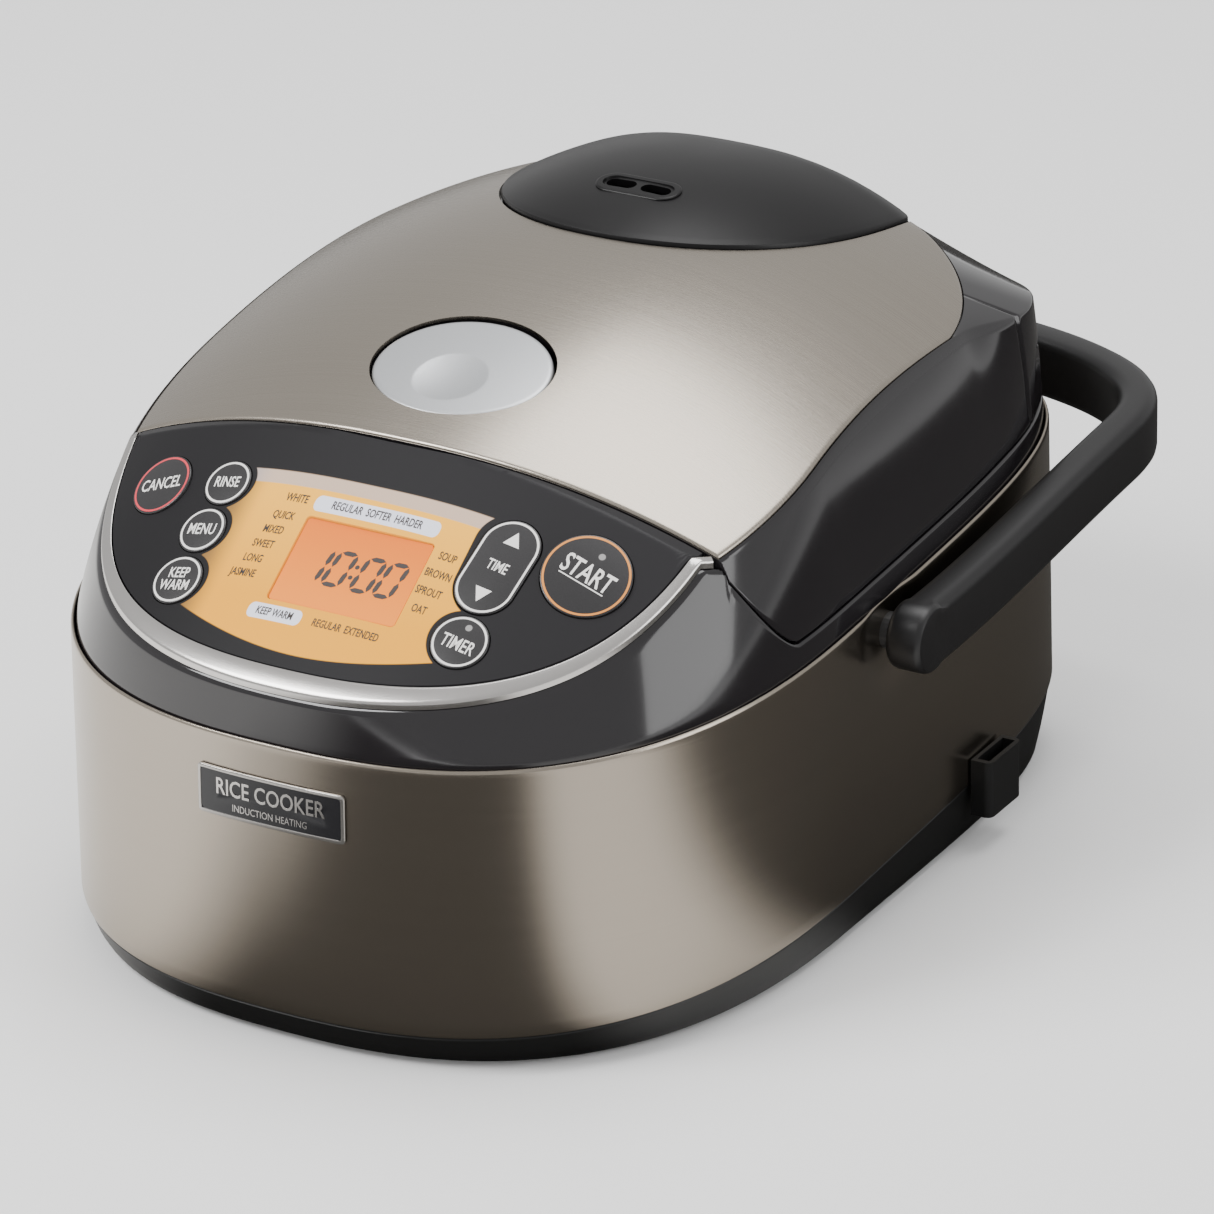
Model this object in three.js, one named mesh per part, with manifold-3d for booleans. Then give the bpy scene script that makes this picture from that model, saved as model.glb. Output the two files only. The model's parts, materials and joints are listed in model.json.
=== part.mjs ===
// Pressure rice cooker, an assembly of separate mouldings, metal parts and moving pieces.
// Millimetres. +X is to the right of a person facing the control panel, -Y is towards that
// person and +Z is up. Shapes are worked out about the body's own axis, with z = 0 at the
// underside of the bottom tray, and the last lines move the whole assembly so that the
// origin is at the middle of its footprint.

import * as THREE from 'three';
import { mergeVertices } from 'three/addons/utils/BufferGeometryUtils.js';
import Module from 'manifold-3d';

const wasm = await Module();
wasm.setup();

// ---------------------------------------------------------------- driving dimensions

// Body outline: a superellipse, rounder at the front and squarer at the back.
const BODY_WIDTH = 256;
const FRONT_DEPTH = 144.7;
const REAR_DEPTH = 185.5;
const FRONT_SQUARENESS = 2.51;
const FRONT_SQUARENESS_LOSS = 0.009;
const REAR_SQUARENESS = 5.2;
const HALF_WIDTH = BODY_WIDTH / 2;
const CROWN_SHARE = 0.78125;
const CROWN_HALF_WIDTH = HALF_WIDTH * CROWN_SHARE;

// Outer shell: its edges rise towards the back, and its foot spreads a little.
const SHELL_TOP = 109.8;
const SHELL_TOP_SLOPE = 0.067;
const SHELL_TOP_CURVE = 0.00005;
const SHELL_BOTTOM = 17.6;
const SHELL_BOTTOM_SLOPE = 0.051;
const SHELL_FOOT_SPREAD = 3.4;
const SHELL_THICKNESS = 1.2;

// Walls and clearances.
const TOUCH_GAP = 0.3;
const WALL = 2.5;
const BAND_WALL = 3;
const SEAM_BAND = 8;
const LID_SEAM_GAP = 0.8;

// The upper wall leans in as it rises.
const WALL_STEP = 1.5;
const WALL_LEAN = 0.12;
const WALL_CURVE = 0.002;
const REAR_LEAN_SHARE = 0.35;
const REAR_LEAN_SETBACK = 85.5;
const REAR_LEAN_LENGTH = 50;

// Lid dome: height along the middle, and its fall towards the sides.
const DOME_HEIGHT = 191.6;
const DOME_SLOPE = 0.2144;
const DOME_CURVE = 0.001377;
const DOME_SIDE_FALL = 21.6;
const DOME_SIDE_POWER = 2.26;
const DOME_REAR_FALL = 15.957;
const DOME_SHOULDER_SETBACK = 40.5;
const DOME_SHOULDER_Y = REAR_DEPTH - DOME_SHOULDER_SETBACK;
const DOME_SHOULDER_CURVE = 0.012;
const LID_FRONT_Y = -63.5;
const LID_FRONT_BOW = 8.35;

// Lid side seam: it drops from the panel's corner and runs back along the band.
const SEAM_DROP_Y = -30;
const SEAM_DROP_LENGTH = 25;
const SEAM_DROP_RISE = 33;
const SEAM_DROP_POWER = 1.6;

// Control panel surface.
const PANEL_TOP_Z = 172;
const PANEL_SLOPE = 0.694;
const PANEL_SIDE_FALL = 20.2;
const PANEL_SIDE_POWER = 2.64;
const PANEL_THICKNESS = 2.4;
const TRIM_WIDTH_FRONT = 5.2;
const TRIM_WIDTH_END = 2;
const PANEL_LENGTH_SHARE = 0.8046875;
const PANEL_HALF_LENGTH = HALF_WIDTH * PANEL_LENGTH_SHARE;
const TRIM_LENGTH_SHARE = 0.875;
const TRIM_HALF_LENGTH = HALF_WIDTH * TRIM_LENGTH_SHARE;

// Lid top plate and vent cap.
const PLATE_THICKNESS = 1.2;
const PLATE_REAR_DEPTH = 95;
const PLATE_REAR_SETBACK = 20.5;
const PLATE_REAR_CENTRE_Y = REAR_DEPTH - PLATE_REAR_SETBACK - PLATE_REAR_DEPTH;
const PLATE_SIDE_INSET = 13.5;
const PLATE_REAR_HALF_WIDTH = HALF_WIDTH - PLATE_SIDE_INSET;
const PLATE_REAR_SQUARENESS = 2.42;
const CAP_CENTRE_Y = 138;
const CAP_HALF_WIDTH = 66;
const CAP_FRONT_REACH = 80;
const CAP_REAR_REACH = 27;
const CAP_CROWN = 8.5;
const CAP_EDGE = 1.2;
const CAP_WALL = 2;
const CAP_LIFT_GAP = 0.9;

// Open button.
const BUTTON_Y = -25.5;
const BUTTON_HALF_WIDTH = 31;
const BUTTON_HALF_LENGTH = 24.2;
const BUTTON_SUNK = 0.8;
const BUTTON_GAP = 0.9;
const BUTTON_DEPTH = 7;

// Hinge and its housing.
const HINGE_SETBACK = 6.5;
const HINGE_Z = 148;
const HINGE_PIN_RADIUS = 2.5;
const BARREL_RADIUS = 7;
const HINGE_Y = REAR_DEPTH - HINGE_SETBACK - BARREL_RADIUS;
const BARREL_HALF_LENGTH = 62;
const BARREL_BORE = 4.8;
const TROUGH_CLEARANCE = 2;
const TROUGH_RADIUS = BARREL_RADIUS + TROUGH_CLEARANCE;
const LID_REAR_SWEEP = TROUGH_RADIUS + 3.5;
const REAR_RAMP_SETBACK = 50.5;
const REAR_RAMP_Y = REAR_DEPTH - REAR_RAMP_SETBACK;
const REAR_RAMP_LENGTH = 13;
const REAR_RAMP_GAP = 2;
const REAR_SEAM_Z = 148;
const REAR_SEAM_LIFT = 4;
const REAR_SEAM_SETBACK = 25.5;
const REAR_SEAM_Y = REAR_DEPTH - REAR_SEAM_SETBACK;
const BRACKET_RADIUS = 6;
const BRACKET_WIDTH = 6;

// Pan, its well and the deck round it.
const PAN_Y = 50;
const DECK_Z = 112;
const DECK_THICKNESS = 2.5;
const PAN_RADIUS = 91;
const PAN_THICKNESS = 2;
const PAN_BOTTOM_Z = 20;
const PAN_FLANGE = 4.5;
const INNER_LID_CLEARANCE = 3;
const WELL_CLEARANCE = 1.8;

// Handle.
const HANDLE_PIVOT_Y = 23;
const HANDLE_PIVOT_Z = 99.4;
const HANDLE_CLEARANCE = 3;
const HANDLE_THICKNESS = 13;
const HANDLE_HEIGHT = 23;
const HANDLE_BACK_GAP = 34;
const HANDLE_REACH = REAR_DEPTH + HANDLE_BACK_GAP + HANDLE_THICKNESS / 2 - HANDLE_PIVOT_Y;
const HANDLE_RISE = 12;
const HANDLE_CORNER = 62;
const PIVOT_RADIUS = 6;

// Feet.
const FOOT_DROP = 2;
const FOOT_RADIUS = 9;
const FOOT_RECESS = 1.2;

// Sampling.
const LOOP_STEPS = 48;
const ROUND_STEPS = 32;
const LOOP_Y = 40;
const LOOP_STRETCH = HALF_WIDTH / 128;

// ---------------------------------------------------------------- small helpers

const clamp01 = (t) => Math.min(1, Math.max(0, t));
const mix = (a, b, t) => a + (b - a) * t;
const smooth = (t) => clamp01(t) ** 2 * (3 - 2 * clamp01(t));
const point = (x, y, z) => new THREE.Vector3(x, y, z);

// A closed mesh from points and triangles, turned so that its faces point out.
function closedGeometry(points, triangles) {
  let volume = 0;
  for (const [a, b, c] of triangles) {
    volume += points[a].dot(points[b].clone().cross(points[c]));
  }
  const index = triangles.flatMap(([a, b, c]) => (volume > 0 ? [a, b, c] : [a, c, b]));
  const geometry = new THREE.BufferGeometry();
  geometry.setAttribute('position', new THREE.Float32BufferAttribute(points.flatMap((p) => p.toArray()), 3));
  geometry.setIndex(index);
  return geometry;
}

// Each four-sided cell is split along its shorter diagonal, so that offset skins match.
function stitchRings(points, first, second, count, triangles) {
  for (let k = 0; k < count; k += 1) {
    const next = (k + 1) % count;
    const rising = points[first + k].distanceTo(points[second + next]);
    const falling = points[first + next].distanceTo(points[second + k]);
    if (rising < falling) {
      triangles.push([first + k, first + next, second + next]);
      triangles.push([first + k, second + next, second + k]);
    } else {
      triangles.push([first + k, first + next, second + k]);
      triangles.push([first + next, second + next, second + k]);
    }
  }
}

// Rings from one pole to the other: a pole is a single point, a ring is a loop of points.
function skinBetweenPoles(startPole, rings, endPole) {
  const count = rings[0].length;
  const points = [startPole, ...rings.flat(), endPole];
  const last = points.length - 1;
  const triangles = [];
  for (let k = 0; k < count; k += 1) {
    const next = (k + 1) % count;
    triangles.push([0, 1 + next, 1 + k]);
    triangles.push([last, last - count + k, last - count + next]);
  }
  for (let r = 0; r + 1 < rings.length; r += 1) {
    stitchRings(points, 1 + r * count, 1 + (r + 1) * count, count, triangles);
  }
  return closedGeometry(points, triangles);
}

// Rings that close on themselves, like a hoop with a section.
function skinHoop(rings) {
  const count = rings[0].length;
  const points = rings.flat();
  const triangles = [];
  for (let r = 0; r < rings.length; r += 1) {
    stitchRings(points, r * count, ((r + 1) % rings.length) * count, count, triangles);
  }
  return closedGeometry(points, triangles);
}

// Sections along a path, closed at both ends.
function skinBar(sections) {
  const centre = (ring) => ring.reduce((sum, p) => sum.add(p), point(0, 0, 0)).divideScalar(ring.length);
  return skinBetweenPoles(centre(sections[0]), sections, centre(sections[sections.length - 1]));
}

// A plate over a four-sided patch: place(u, v, side) gives a point, side 0 under and 1 over.
function patchPlate(place, acrossSteps, alongSteps) {
  const points = [];
  const triangles = [];
  const columns = alongSteps + 1;
  const id = (side, i, j) => (side * (acrossSteps + 1) + i) * columns + j;
  for (const side of [0, 1]) {
    for (let i = 0; i <= acrossSteps; i += 1) {
      for (let j = 0; j <= alongSteps; j += 1) {
        points.push(place(i / acrossSteps, j / alongSteps, side));
      }
    }
  }
  const quad = (a, b, c, d) => triangles.push([a, b, c], [a, c, d]);
  for (let i = 0; i < acrossSteps; i += 1) {
    for (let j = 0; j < alongSteps; j += 1) {
      quad(id(1, i, j), id(1, i + 1, j), id(1, i + 1, j + 1), id(1, i, j + 1));
      quad(id(0, i, j), id(0, i, j + 1), id(0, i + 1, j + 1), id(0, i + 1, j));
    }
    quad(id(0, i, 0), id(0, i + 1, 0), id(1, i + 1, 0), id(1, i, 0));
    quad(id(0, i + 1, alongSteps), id(0, i, alongSteps), id(1, i, alongSteps), id(1, i + 1, alongSteps));
  }
  for (let j = 0; j < alongSteps; j += 1) {
    quad(id(0, 0, j + 1), id(0, 0, j), id(1, 0, j), id(1, 0, j + 1));
    quad(id(0, acrossSteps, j), id(0, acrossSteps, j + 1), id(1, acrossSteps, j + 1), id(1, acrossSteps, j));
  }
  return closedGeometry(points, triangles);
}

function toManifold(source) {
  const bare = source.clone();
  for (const name of Object.keys(bare.attributes)) {
    if (name !== 'position') bare.deleteAttribute(name);
  }
  const merged = mergeVertices(bare, 0.0001);
  const vertProperties = new Float32Array(merged.attributes.position.array);
  const triVerts = new Uint32Array(merged.index.array);
  return new wasm.Manifold(new wasm.Mesh({ numProp: 3, vertProperties, triVerts }));
}

function fromManifold(solid) {
  const mesh = solid.getMesh();
  const geometry = new THREE.BufferGeometry();
  geometry.setAttribute('position', new THREE.BufferAttribute(new Float32Array(mesh.vertProperties), 3));
  geometry.setIndex(new THREE.BufferAttribute(new Uint32Array(mesh.triVerts), 1));
  return geometry;
}

function cut(base, ...tools) {
  return fromManifold(tools.reduce((solid, tool) => solid.subtract(toManifold(tool)), toManifold(base)));
}

function join(base, ...others) {
  return fromManifold(others.reduce((solid, other) => solid.add(toManifold(other)), toManifold(base)));
}

function common(base, ...others) {
  return fromManifold(others.reduce((solid, other) => solid.intersect(toManifold(other)), toManifold(base)));
}

function box(x0, x1, y0, y1, z0, z1) {
  const geometry = new THREE.BoxGeometry(x1 - x0, y1 - y0, z1 - z0);
  return geometry.translate((x0 + x1) / 2, (y0 + y1) / 2, (z0 + z1) / 2);
}

// A turned piece about an upright axis: profile points are [radius, height].
function turned(profile, x, y, steps = ROUND_STEPS) {
  const outline = profile.map(([radius, height]) => new THREE.Vector2(radius, height));
  return new THREE.LatheGeometry(outline, steps).rotateX(Math.PI / 2).translate(x, y, 0);
}

function disc(radius, x, y, z0, z1, steps = ROUND_STEPS) {
  return turned([[0, z0], [radius, z0], [radius, z1], [0, z1]], x, y, steps);
}

function turnedRing(inner, outer, z0, z1, x, y, steps = ROUND_STEPS) {
  return turned([[inner, z0], [outer, z0], [outer, z1], [inner, z1], [inner, z0]], x, y, steps);
}

function crossPin(radius, x0, x1, y, z, steps = 24) {
  const geometry = new THREE.CylinderGeometry(radius, radius, x1 - x0, steps);
  return geometry.rotateZ(Math.PI / 2).translate((x0 + x1) / 2, y, z);
}

function extruded(shape, depth) {
  return new THREE.ExtrudeGeometry(shape, { depth, bevelEnabled: false, curveSegments: 12 });
}

const parts = new THREE.Group();

function addPart(name, geometry, colour, roughness, metalness, parent = parts) {
  const material = new THREE.MeshStandardMaterial({ color: colour, roughness, metalness });
  const mesh = new THREE.Mesh(geometry, material);
  mesh.name = name;
  parent.add(mesh);
  return mesh;
}

// Finishes shared by several pieces: colour, roughness, metalness.
const GLOSS_BLACK = [0x1c1b1e, 0.15, 0];
const MATT_BLACK = [0x17171a, 0.6, 0];
const STEEL = [0x9a948a, 0.32, 1];
const BRIGHT = [0xc9c9cc, 0.25, 1];
const DARK_METAL = [0x4a4a4c, 0.5, 1];
const RUBBER = [0x2a2a2c, 0.9, 0];

// ---------------------------------------------------------------- surfaces of the body

function shellTop(y) {
  return SHELL_TOP + SHELL_TOP_SLOPE * y + SHELL_TOP_CURVE * y * y;
}

function shellBottom(y) {
  return SHELL_BOTTOM + SHELL_BOTTOM_SLOPE * y;
}

// Value below 1 inside the outline, for semi-axes shortened by inset.
function outlineValue(x, y, inset, frontSquareness, footSpread = 0) {
  const front = y < 0;
  const depth = (front ? FRONT_DEPTH : REAR_DEPTH) + footSpread - inset;
  const power = front ? frontSquareness : REAR_SQUARENESS;
  return (Math.abs(x) / (HALF_WIDTH - inset)) ** power + (Math.abs(y) / depth) ** power;
}

// How far the wall has leaned in at a height above the shell's top edge.
function wallInset(rise, y) {
  const up = Math.max(0, rise);
  const lean = WALL_LEAN * up + WALL_CURVE * up * up;
  const rearward = smooth((y - REAR_DEPTH + REAR_LEAN_SETBACK) / REAR_LEAN_LENGTH);
  return WALL_STEP + lean * mix(1, REAR_LEAN_SHARE, rearward);
}

function wallValue(x, y, z, extraInset) {
  const rise = z - shellTop(y);
  const squareness = FRONT_SQUARENESS - FRONT_SQUARENESS_LOSS * Math.max(0, rise);
  return outlineValue(x, y, wallInset(rise, y) + extraInset, squareness);
}

function lidFrontY(x) {
  return LID_FRONT_Y + LID_FRONT_BOW * (x / CROWN_HALF_WIDTH) ** 2;
}

// The dome's highest point: it falls to the front as a parabola, and to the rear by a set amount.
const DOME_PEAK_Y = DOME_SLOPE / (2 * DOME_CURVE);
const DOME_PEAK_Z = DOME_HEIGHT + (DOME_SLOPE * DOME_PEAK_Y) / 2;

function domeHeight(x, y) {
  const forward = DOME_PEAK_Y - Math.min(y, DOME_PEAK_Y);
  const rearward = Math.max(y, DOME_PEAK_Y) - DOME_PEAK_Y;
  const rearShare = rearward / (REAR_DEPTH - DOME_PEAK_Y);
  const middle = DOME_PEAK_Z - DOME_CURVE * forward ** 2 - DOME_REAR_FALL * rearShare ** 2;
  const sideFall = DOME_SIDE_FALL * (Math.abs(x) / CROWN_HALF_WIDTH) ** DOME_SIDE_POWER;
  const shoulder = DOME_SHOULDER_CURVE * Math.max(0, y - DOME_SHOULDER_Y) ** 2;
  return middle - sideFall - shoulder;
}

// The panel slopes up to the lid's front edge and never stands above it.
function panelHeight(x, y) {
  const sideFall = PANEL_SIDE_FALL * (Math.abs(x) / CROWN_HALF_WIDTH) ** PANEL_SIDE_POWER;
  const slope = PANEL_TOP_Z + PANEL_SLOPE * (y + 64) - sideFall;
  const ceiling = domeHeight(x, lidFrontY(x));
  return Math.min(slope, ceiling);
}

// Height of the lid seam on the outer wall.
function seamHeight(y) {
  const drop = clamp01((SEAM_DROP_Y - y) / SEAM_DROP_LENGTH) ** SEAM_DROP_POWER;
  const side = shellTop(y) + SEAM_BAND + SEAM_DROP_RISE * drop;
  const rear = REAR_SEAM_Z + REAR_SEAM_LIFT * smooth((y - REAR_SEAM_Y) / 20);
  return mix(side, rear, smooth((y - REAR_RAMP_Y) / REAR_RAMP_LENGTH));
}

function bandTop(x, y) {
  if (y < lidFrontY(x)) return panelHeight(x, y) - PANEL_THICKNESS;
  return shellTop(y) + SEAM_BAND + SEAM_DROP_RISE
    * clamp01((SEAM_DROP_Y - y) / SEAM_DROP_LENGTH) ** SEAM_DROP_POWER - TOUCH_GAP;
}

// ---------------------------------------------------------------- loops round the body

// Where a ray from the loop axis leaves a region, found by halving. The rays spread with the width.
function reach(angle, axisY, isInside) {
  let near = 0;
  let far = 400;
  const across = Math.cos(angle) * LOOP_STRETCH;
  const along = Math.sin(angle);
  for (let step = 0; step < 40; step += 1) {
    const middle = (near + far) / 2;
    if (isInside(middle * across, axisY + middle * along)) near = middle;
    else far = middle;
  }
  return [near * across, axisY + near * along];
}

// A wall point at the height given by heightAt(x, y).
function wallPoint(angle, heightAt, extraInset) {
  const [x, y] = reach(angle, LOOP_Y, (px, py) => wallValue(px, py, heightAt(px, py), extraInset) < 1);
  return point(x, y, heightAt(x, y));
}

// The same for the lid, whose front is cut off along the panel.
function lidPoint(angle, heightAt, extraInset, frontGap) {
  const inside = (px, py) => wallValue(px, py, heightAt(px, py), extraInset) < 1
    && py > lidFrontY(px) + frontGap;
  const [x, y] = reach(angle, LOOP_Y, inside);
  return point(x, y, heightAt(x, y));
}

function shellPoint(angle, z, inset, spread) {
  const inside = (px, py) => outlineValue(px, py, inset, FRONT_SQUARENESS, spread) < 1;
  const [x, y] = reach(angle, LOOP_Y, inside);
  return point(x, y, typeof z === 'function' ? z(y) : z);
}

const evenAngles = Array.from({ length: LOOP_STEPS }, (_, k) => (2 * Math.PI * k) / LOOP_STEPS);

// Angles round the body, closer together where the seam climbs.
const loopAngles = evenAngles.flatMap((angle) => {
  const spot = wallPoint(angle + Math.PI / LOOP_STEPS, () => SHELL_TOP, 0);
  const nearDrop = spot.y > SEAM_DROP_Y - SEAM_DROP_LENGTH - 6 && spot.y < SEAM_DROP_Y + 4;
  const nearRamp = spot.y > REAR_RAMP_Y - 4 && spot.y < REAR_RAMP_Y + REAR_RAMP_LENGTH + 6;
  const share = nearDrop || nearRamp ? 4 : 1;
  return Array.from({ length: share }, (_, k) => angle + (2 * Math.PI * k) / (LOOP_STEPS * share));
});

// ---------------------------------------------------------------- base tray and feet

const TRAY_EDGE_INSET = 4.3;
const trayAngles = evenAngles;

function trayRing(inset, z) {
  return trayAngles.map((angle) => shellPoint(angle, z, inset, SHELL_FOOT_SPREAD));
}

const trayLip = SHELL_THICKNESS + TOUCH_GAP;
const trayBody = skinBetweenPoles(
  point(0, LOOP_Y, 0),
  [
    trayRing(20, 0),
    trayRing(TRAY_EDGE_INSET + 2, 0),
    trayRing(TRAY_EDGE_INSET, 1.5),
    trayRing(2, (y) => shellBottom(y) * 0.6),
    trayRing(0.6, (y) => shellBottom(y) - TOUCH_GAP),
    trayRing(trayLip, (y) => shellBottom(y) - TOUCH_GAP),
    trayRing(trayLip, (y) => shellBottom(y) + 6),
    trayRing(trayLip + WALL, (y) => shellBottom(y) + 6),
    trayRing(TRAY_EDGE_INSET + WALL + 1, WALL),
  ],
  point(0, LOOP_Y, WALL),
);

const footSpots = {
  foot_front_left: [-80, -85],
  foot_front_right: [80, -85],
  foot_rear_left: [-88, 140],
  foot_rear_right: [88, 140],
};
const footRecesses = Object.values(footSpots).map(([x, y]) => (
  disc(FOOT_RADIUS + TOUCH_GAP, x, y, -1, FOOT_RECESS, 24)
));

const FAN_X = -52;
const FAN_Y = -92;
const FAN_SIZE = 50;
const FAN_RADIUS = 22;
const intakeSlots = [-2, -1, 0, 1, 2].map((row) => (
  box(FAN_X - 18, FAN_X + 18, FAN_Y + row * 8 - 2, FAN_Y + row * 8 + 2, -1, WALL + 1)
));
addPart('base_tray', cut(trayBody, ...footRecesses, ...intakeSlots), ...MATT_BLACK);

for (const [name, [x, y]] of Object.entries(footSpots)) {
  const top = FOOT_RECESS - TOUCH_GAP;
  const profile = [[0, -FOOT_DROP], [FOOT_RADIUS - 1, -FOOT_DROP], [FOOT_RADIUS, -FOOT_DROP + 1],
    [FOOT_RADIUS, top], [0, top]];
  addPart(name, turned(profile, x, y, 24), ...RUBBER);
}

// ---------------------------------------------------------------- outer shell

function shellRing(share, inset) {
  const spread = SHELL_FOOT_SPREAD * share;
  const height = (y) => mix(shellTop(y), shellBottom(y), share);
  return loopAngles.map((angle) => shellPoint(angle, height, inset, spread));
}

const shellWrap = skinHoop([
  shellRing(0, 0.5),
  shellRing(0.012, 0),
  shellRing(0.5, 0),
  shellRing(1, 0),
  shellRing(1, SHELL_THICKNESS),
  shellRing(0.5, SHELL_THICKNESS),
  shellRing(0, SHELL_THICKNESS),
]);

const pivotHole = crossPin(
  PIVOT_RADIUS + 1.5, -HALF_WIDTH - 10, HALF_WIDTH + 10, HANDLE_PIVOT_Y, HANDLE_PIVOT_Z,
);
addPart('outer_shell', cut(shellWrap, pivotHole), ...STEEL);

// ---------------------------------------------------------------- upper band

function bandBottom(x, y) {
  return Math.min(shellTop(y) - 4, DECK_Z - 4);
}

function bandRing(share, extraInset) {
  return loopAngles.map((angle) => {
    const low = wallPoint(angle, bandBottom, extraInset);
    const high = wallPoint(angle, bandTop, extraInset);
    if (share === 0) return low;
    if (share === 1) return high;
    const z = mix(low.z, high.z, share);
    return wallPoint(angle, () => z, extraInset);
  });
}

addPart('upper_band', skinHoop([
  bandRing(0, 0),
  bandRing(0.35, 0),
  bandRing(0.7, 0),
  bandRing(1, 0),
  bandRing(1, BAND_WALL),
  bandRing(0.5, BAND_WALL),
  bandRing(0, BAND_WALL),
]), ...GLOSS_BLACK);

// ---------------------------------------------------------------- deck and pan well

const DECK_OPENING = PAN_RADIUS + WELL_CLEARANCE;
const DECK_FRONT_GAP = 2;

function deckRing(z) {
  return loopAngles.map((angle) => {
    const inside = (px, py) => wallValue(px, py, DECK_Z, BAND_WALL + TOUCH_GAP) < 1
      && py > lidFrontY(px) + DECK_FRONT_GAP
      && outlineValue(px, py, SHELL_THICKNESS + 3, FRONT_SQUARENESS) < 1;
    const [x, y] = reach(angle, LOOP_Y, inside);
    return point(x, y, z);
  });
}

const deckPlate = skinBetweenPoles(
  point(0, LOOP_Y, DECK_Z - DECK_THICKNESS),
  [deckRing(DECK_Z - DECK_THICKNESS), deckRing(DECK_Z)],
  point(0, LOOP_Y, DECK_Z),
);
addPart('top_deck', cut(deckPlate, disc(DECK_OPENING, 0, PAN_Y, 0, 200)), ...MATT_BLACK);

const wellTop = DECK_Z - DECK_THICKNESS - TOUCH_GAP;
const wellInner = PAN_RADIUS + 1.5;
const wellFloor = PAN_BOTTOM_Z - 4.5;
const SENSOR_RADIUS = 10;
addPart('pot_well', turned([
  [SENSOR_RADIUS + 1.5, wellFloor - 1.2],
  [wellInner - 14, wellFloor - 1.2],
  [wellInner + 1.2, wellFloor + 14],
  [wellInner + 1.2, wellTop - 1.2],
  [wellInner + 5, wellTop - 1.2],
  [wellInner + 5, wellTop],
  [wellInner, wellTop],
  [wellInner, wellFloor + 14.5],
  [wellInner - 14.5, wellFloor],
  [SENSOR_RADIUS + 1.5, wellFloor],
  [SENSOR_RADIUS + 1.5, wellFloor - 1.2],
], 0, PAN_Y, 36), ...DARK_METAL);

const panRim = DECK_Z + TOUCH_GAP;
const panInner = PAN_RADIUS - PAN_THICKNESS;
addPart('inner_pan', turned([
  [0, PAN_BOTTOM_Z],
  [PAN_RADIUS - 16, PAN_BOTTOM_Z],
  [PAN_RADIUS - 5, PAN_BOTTOM_Z + 5],
  [PAN_RADIUS, PAN_BOTTOM_Z + 16],
  [PAN_RADIUS, panRim],
  [PAN_RADIUS + PAN_FLANGE, panRim],
  [PAN_RADIUS + PAN_FLANGE, panRim + 1.5],
  [panInner, panRim + 1.5],
  [panInner, PAN_BOTTOM_Z + 16.5],
  [panInner - 4.5, PAN_BOTTOM_Z + 6.5],
  [panInner - 15, PAN_BOTTOM_Z + PAN_THICKNESS],
  [0, PAN_BOTTOM_Z + PAN_THICKNESS],
], 0, PAN_Y, 36), 0x3b3a3c, 0.45, 0.6);

const coilTop = wellFloor - 1.2 - TOUCH_GAP;
addPart('induction_coil', turnedRing(26, 72, coilTop - 3, coilTop, 0, PAN_Y), 0xa8632c, 0.5, 0.6);
addPart('coil_carrier', turnedRing(24, 76, coilTop - 6.5, coilTop - 3 - TOUCH_GAP, 0, PAN_Y), 0xb9b2a2, 0.7, 0);

const sensorTop = PAN_BOTTOM_Z - TOUCH_GAP;
addPart('sensor_cap', turned([
  [0, sensorTop - 3],
  [SENSOR_RADIUS - 2, sensorTop - 3],
  [SENSOR_RADIUS - 2, sensorTop - 6],
  [SENSOR_RADIUS, sensorTop - 6],
  [SENSOR_RADIUS, sensorTop - 1],
  [SENSOR_RADIUS - 1, sensorTop],
  [0, sensorTop],
], 0, PAN_Y, 28), ...BRIGHT);

// A coil spring between two heights: a wire bent along a helix.
function coilSpring(x, y, z0, z1, radius, wire, turns) {
  const stepsPerTurn = 8;
  const track = Array.from({ length: turns * stepsPerTurn + 1 }, (_, k) => {
    const turn = (2 * Math.PI * k) / stepsPerTurn;
    return point(x + radius * Math.cos(turn), y + radius * Math.sin(turn), mix(z0, z1, k / (turns * stepsPerTurn)));
  });
  const section = new THREE.Shape(Array.from({ length: 5 }, (_, k) => (
    new THREE.Vector2(wire * Math.cos((k * Math.PI) / 2.5), wire * Math.sin((k * Math.PI) / 2.5))
  )));
  const path = new THREE.CatmullRomCurve3(track);
  return new THREE.ExtrudeGeometry(section, { steps: turns * stepsPerTurn, extrudePath: path, bevelEnabled: false });
}

const sensorSpringTop = sensorTop - 3 - 0.7 - TOUCH_GAP;
addPart('sensor_spring', coilSpring(0, PAN_Y, WALL + 1.2, sensorSpringTop, 5, 0.6, 4), ...BRIGHT);

// ---------------------------------------------------------------- panel carrier and panel

const PANEL_AXIS_Y = -95;
const CARRIER_FLOOR_Z = 96;
const CARRIER_GAP = 1.8;

function carrierRing(z, inset) {
  return evenAngles.filter((_, k) => k % 2 === 0).map((angle) => {
    const inside = (px, py) => wallValue(px, py, panelHeight(px, py), BAND_WALL + 1.5 + inset) < 1
      && py < lidFrontY(px) - 1 - inset;
    const [x, y] = reach(angle, PANEL_AXIS_Y, inside);
    return point(x, y, z === 'top' ? panelHeight(x, y) - PANEL_THICKNESS - CARRIER_GAP : z);
  });
}

addPart('panel_carrier', skinBetweenPoles(
  point(0, PANEL_AXIS_Y, CARRIER_FLOOR_Z),
  [carrierRing(CARRIER_FLOOR_Z, 0), carrierRing('top', 0), carrierRing('top', 2), carrierRing(CARRIER_FLOOR_Z + 2, 2)],
  point(0, PANEL_AXIS_Y, CARRIER_FLOOR_Z + 2),
), ...MATT_BLACK);

function trimWidth(x) {
  return mix(TRIM_WIDTH_FRONT, TRIM_WIDTH_END, smooth(Math.abs(x) / TRIM_HALF_LENGTH));
}

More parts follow.
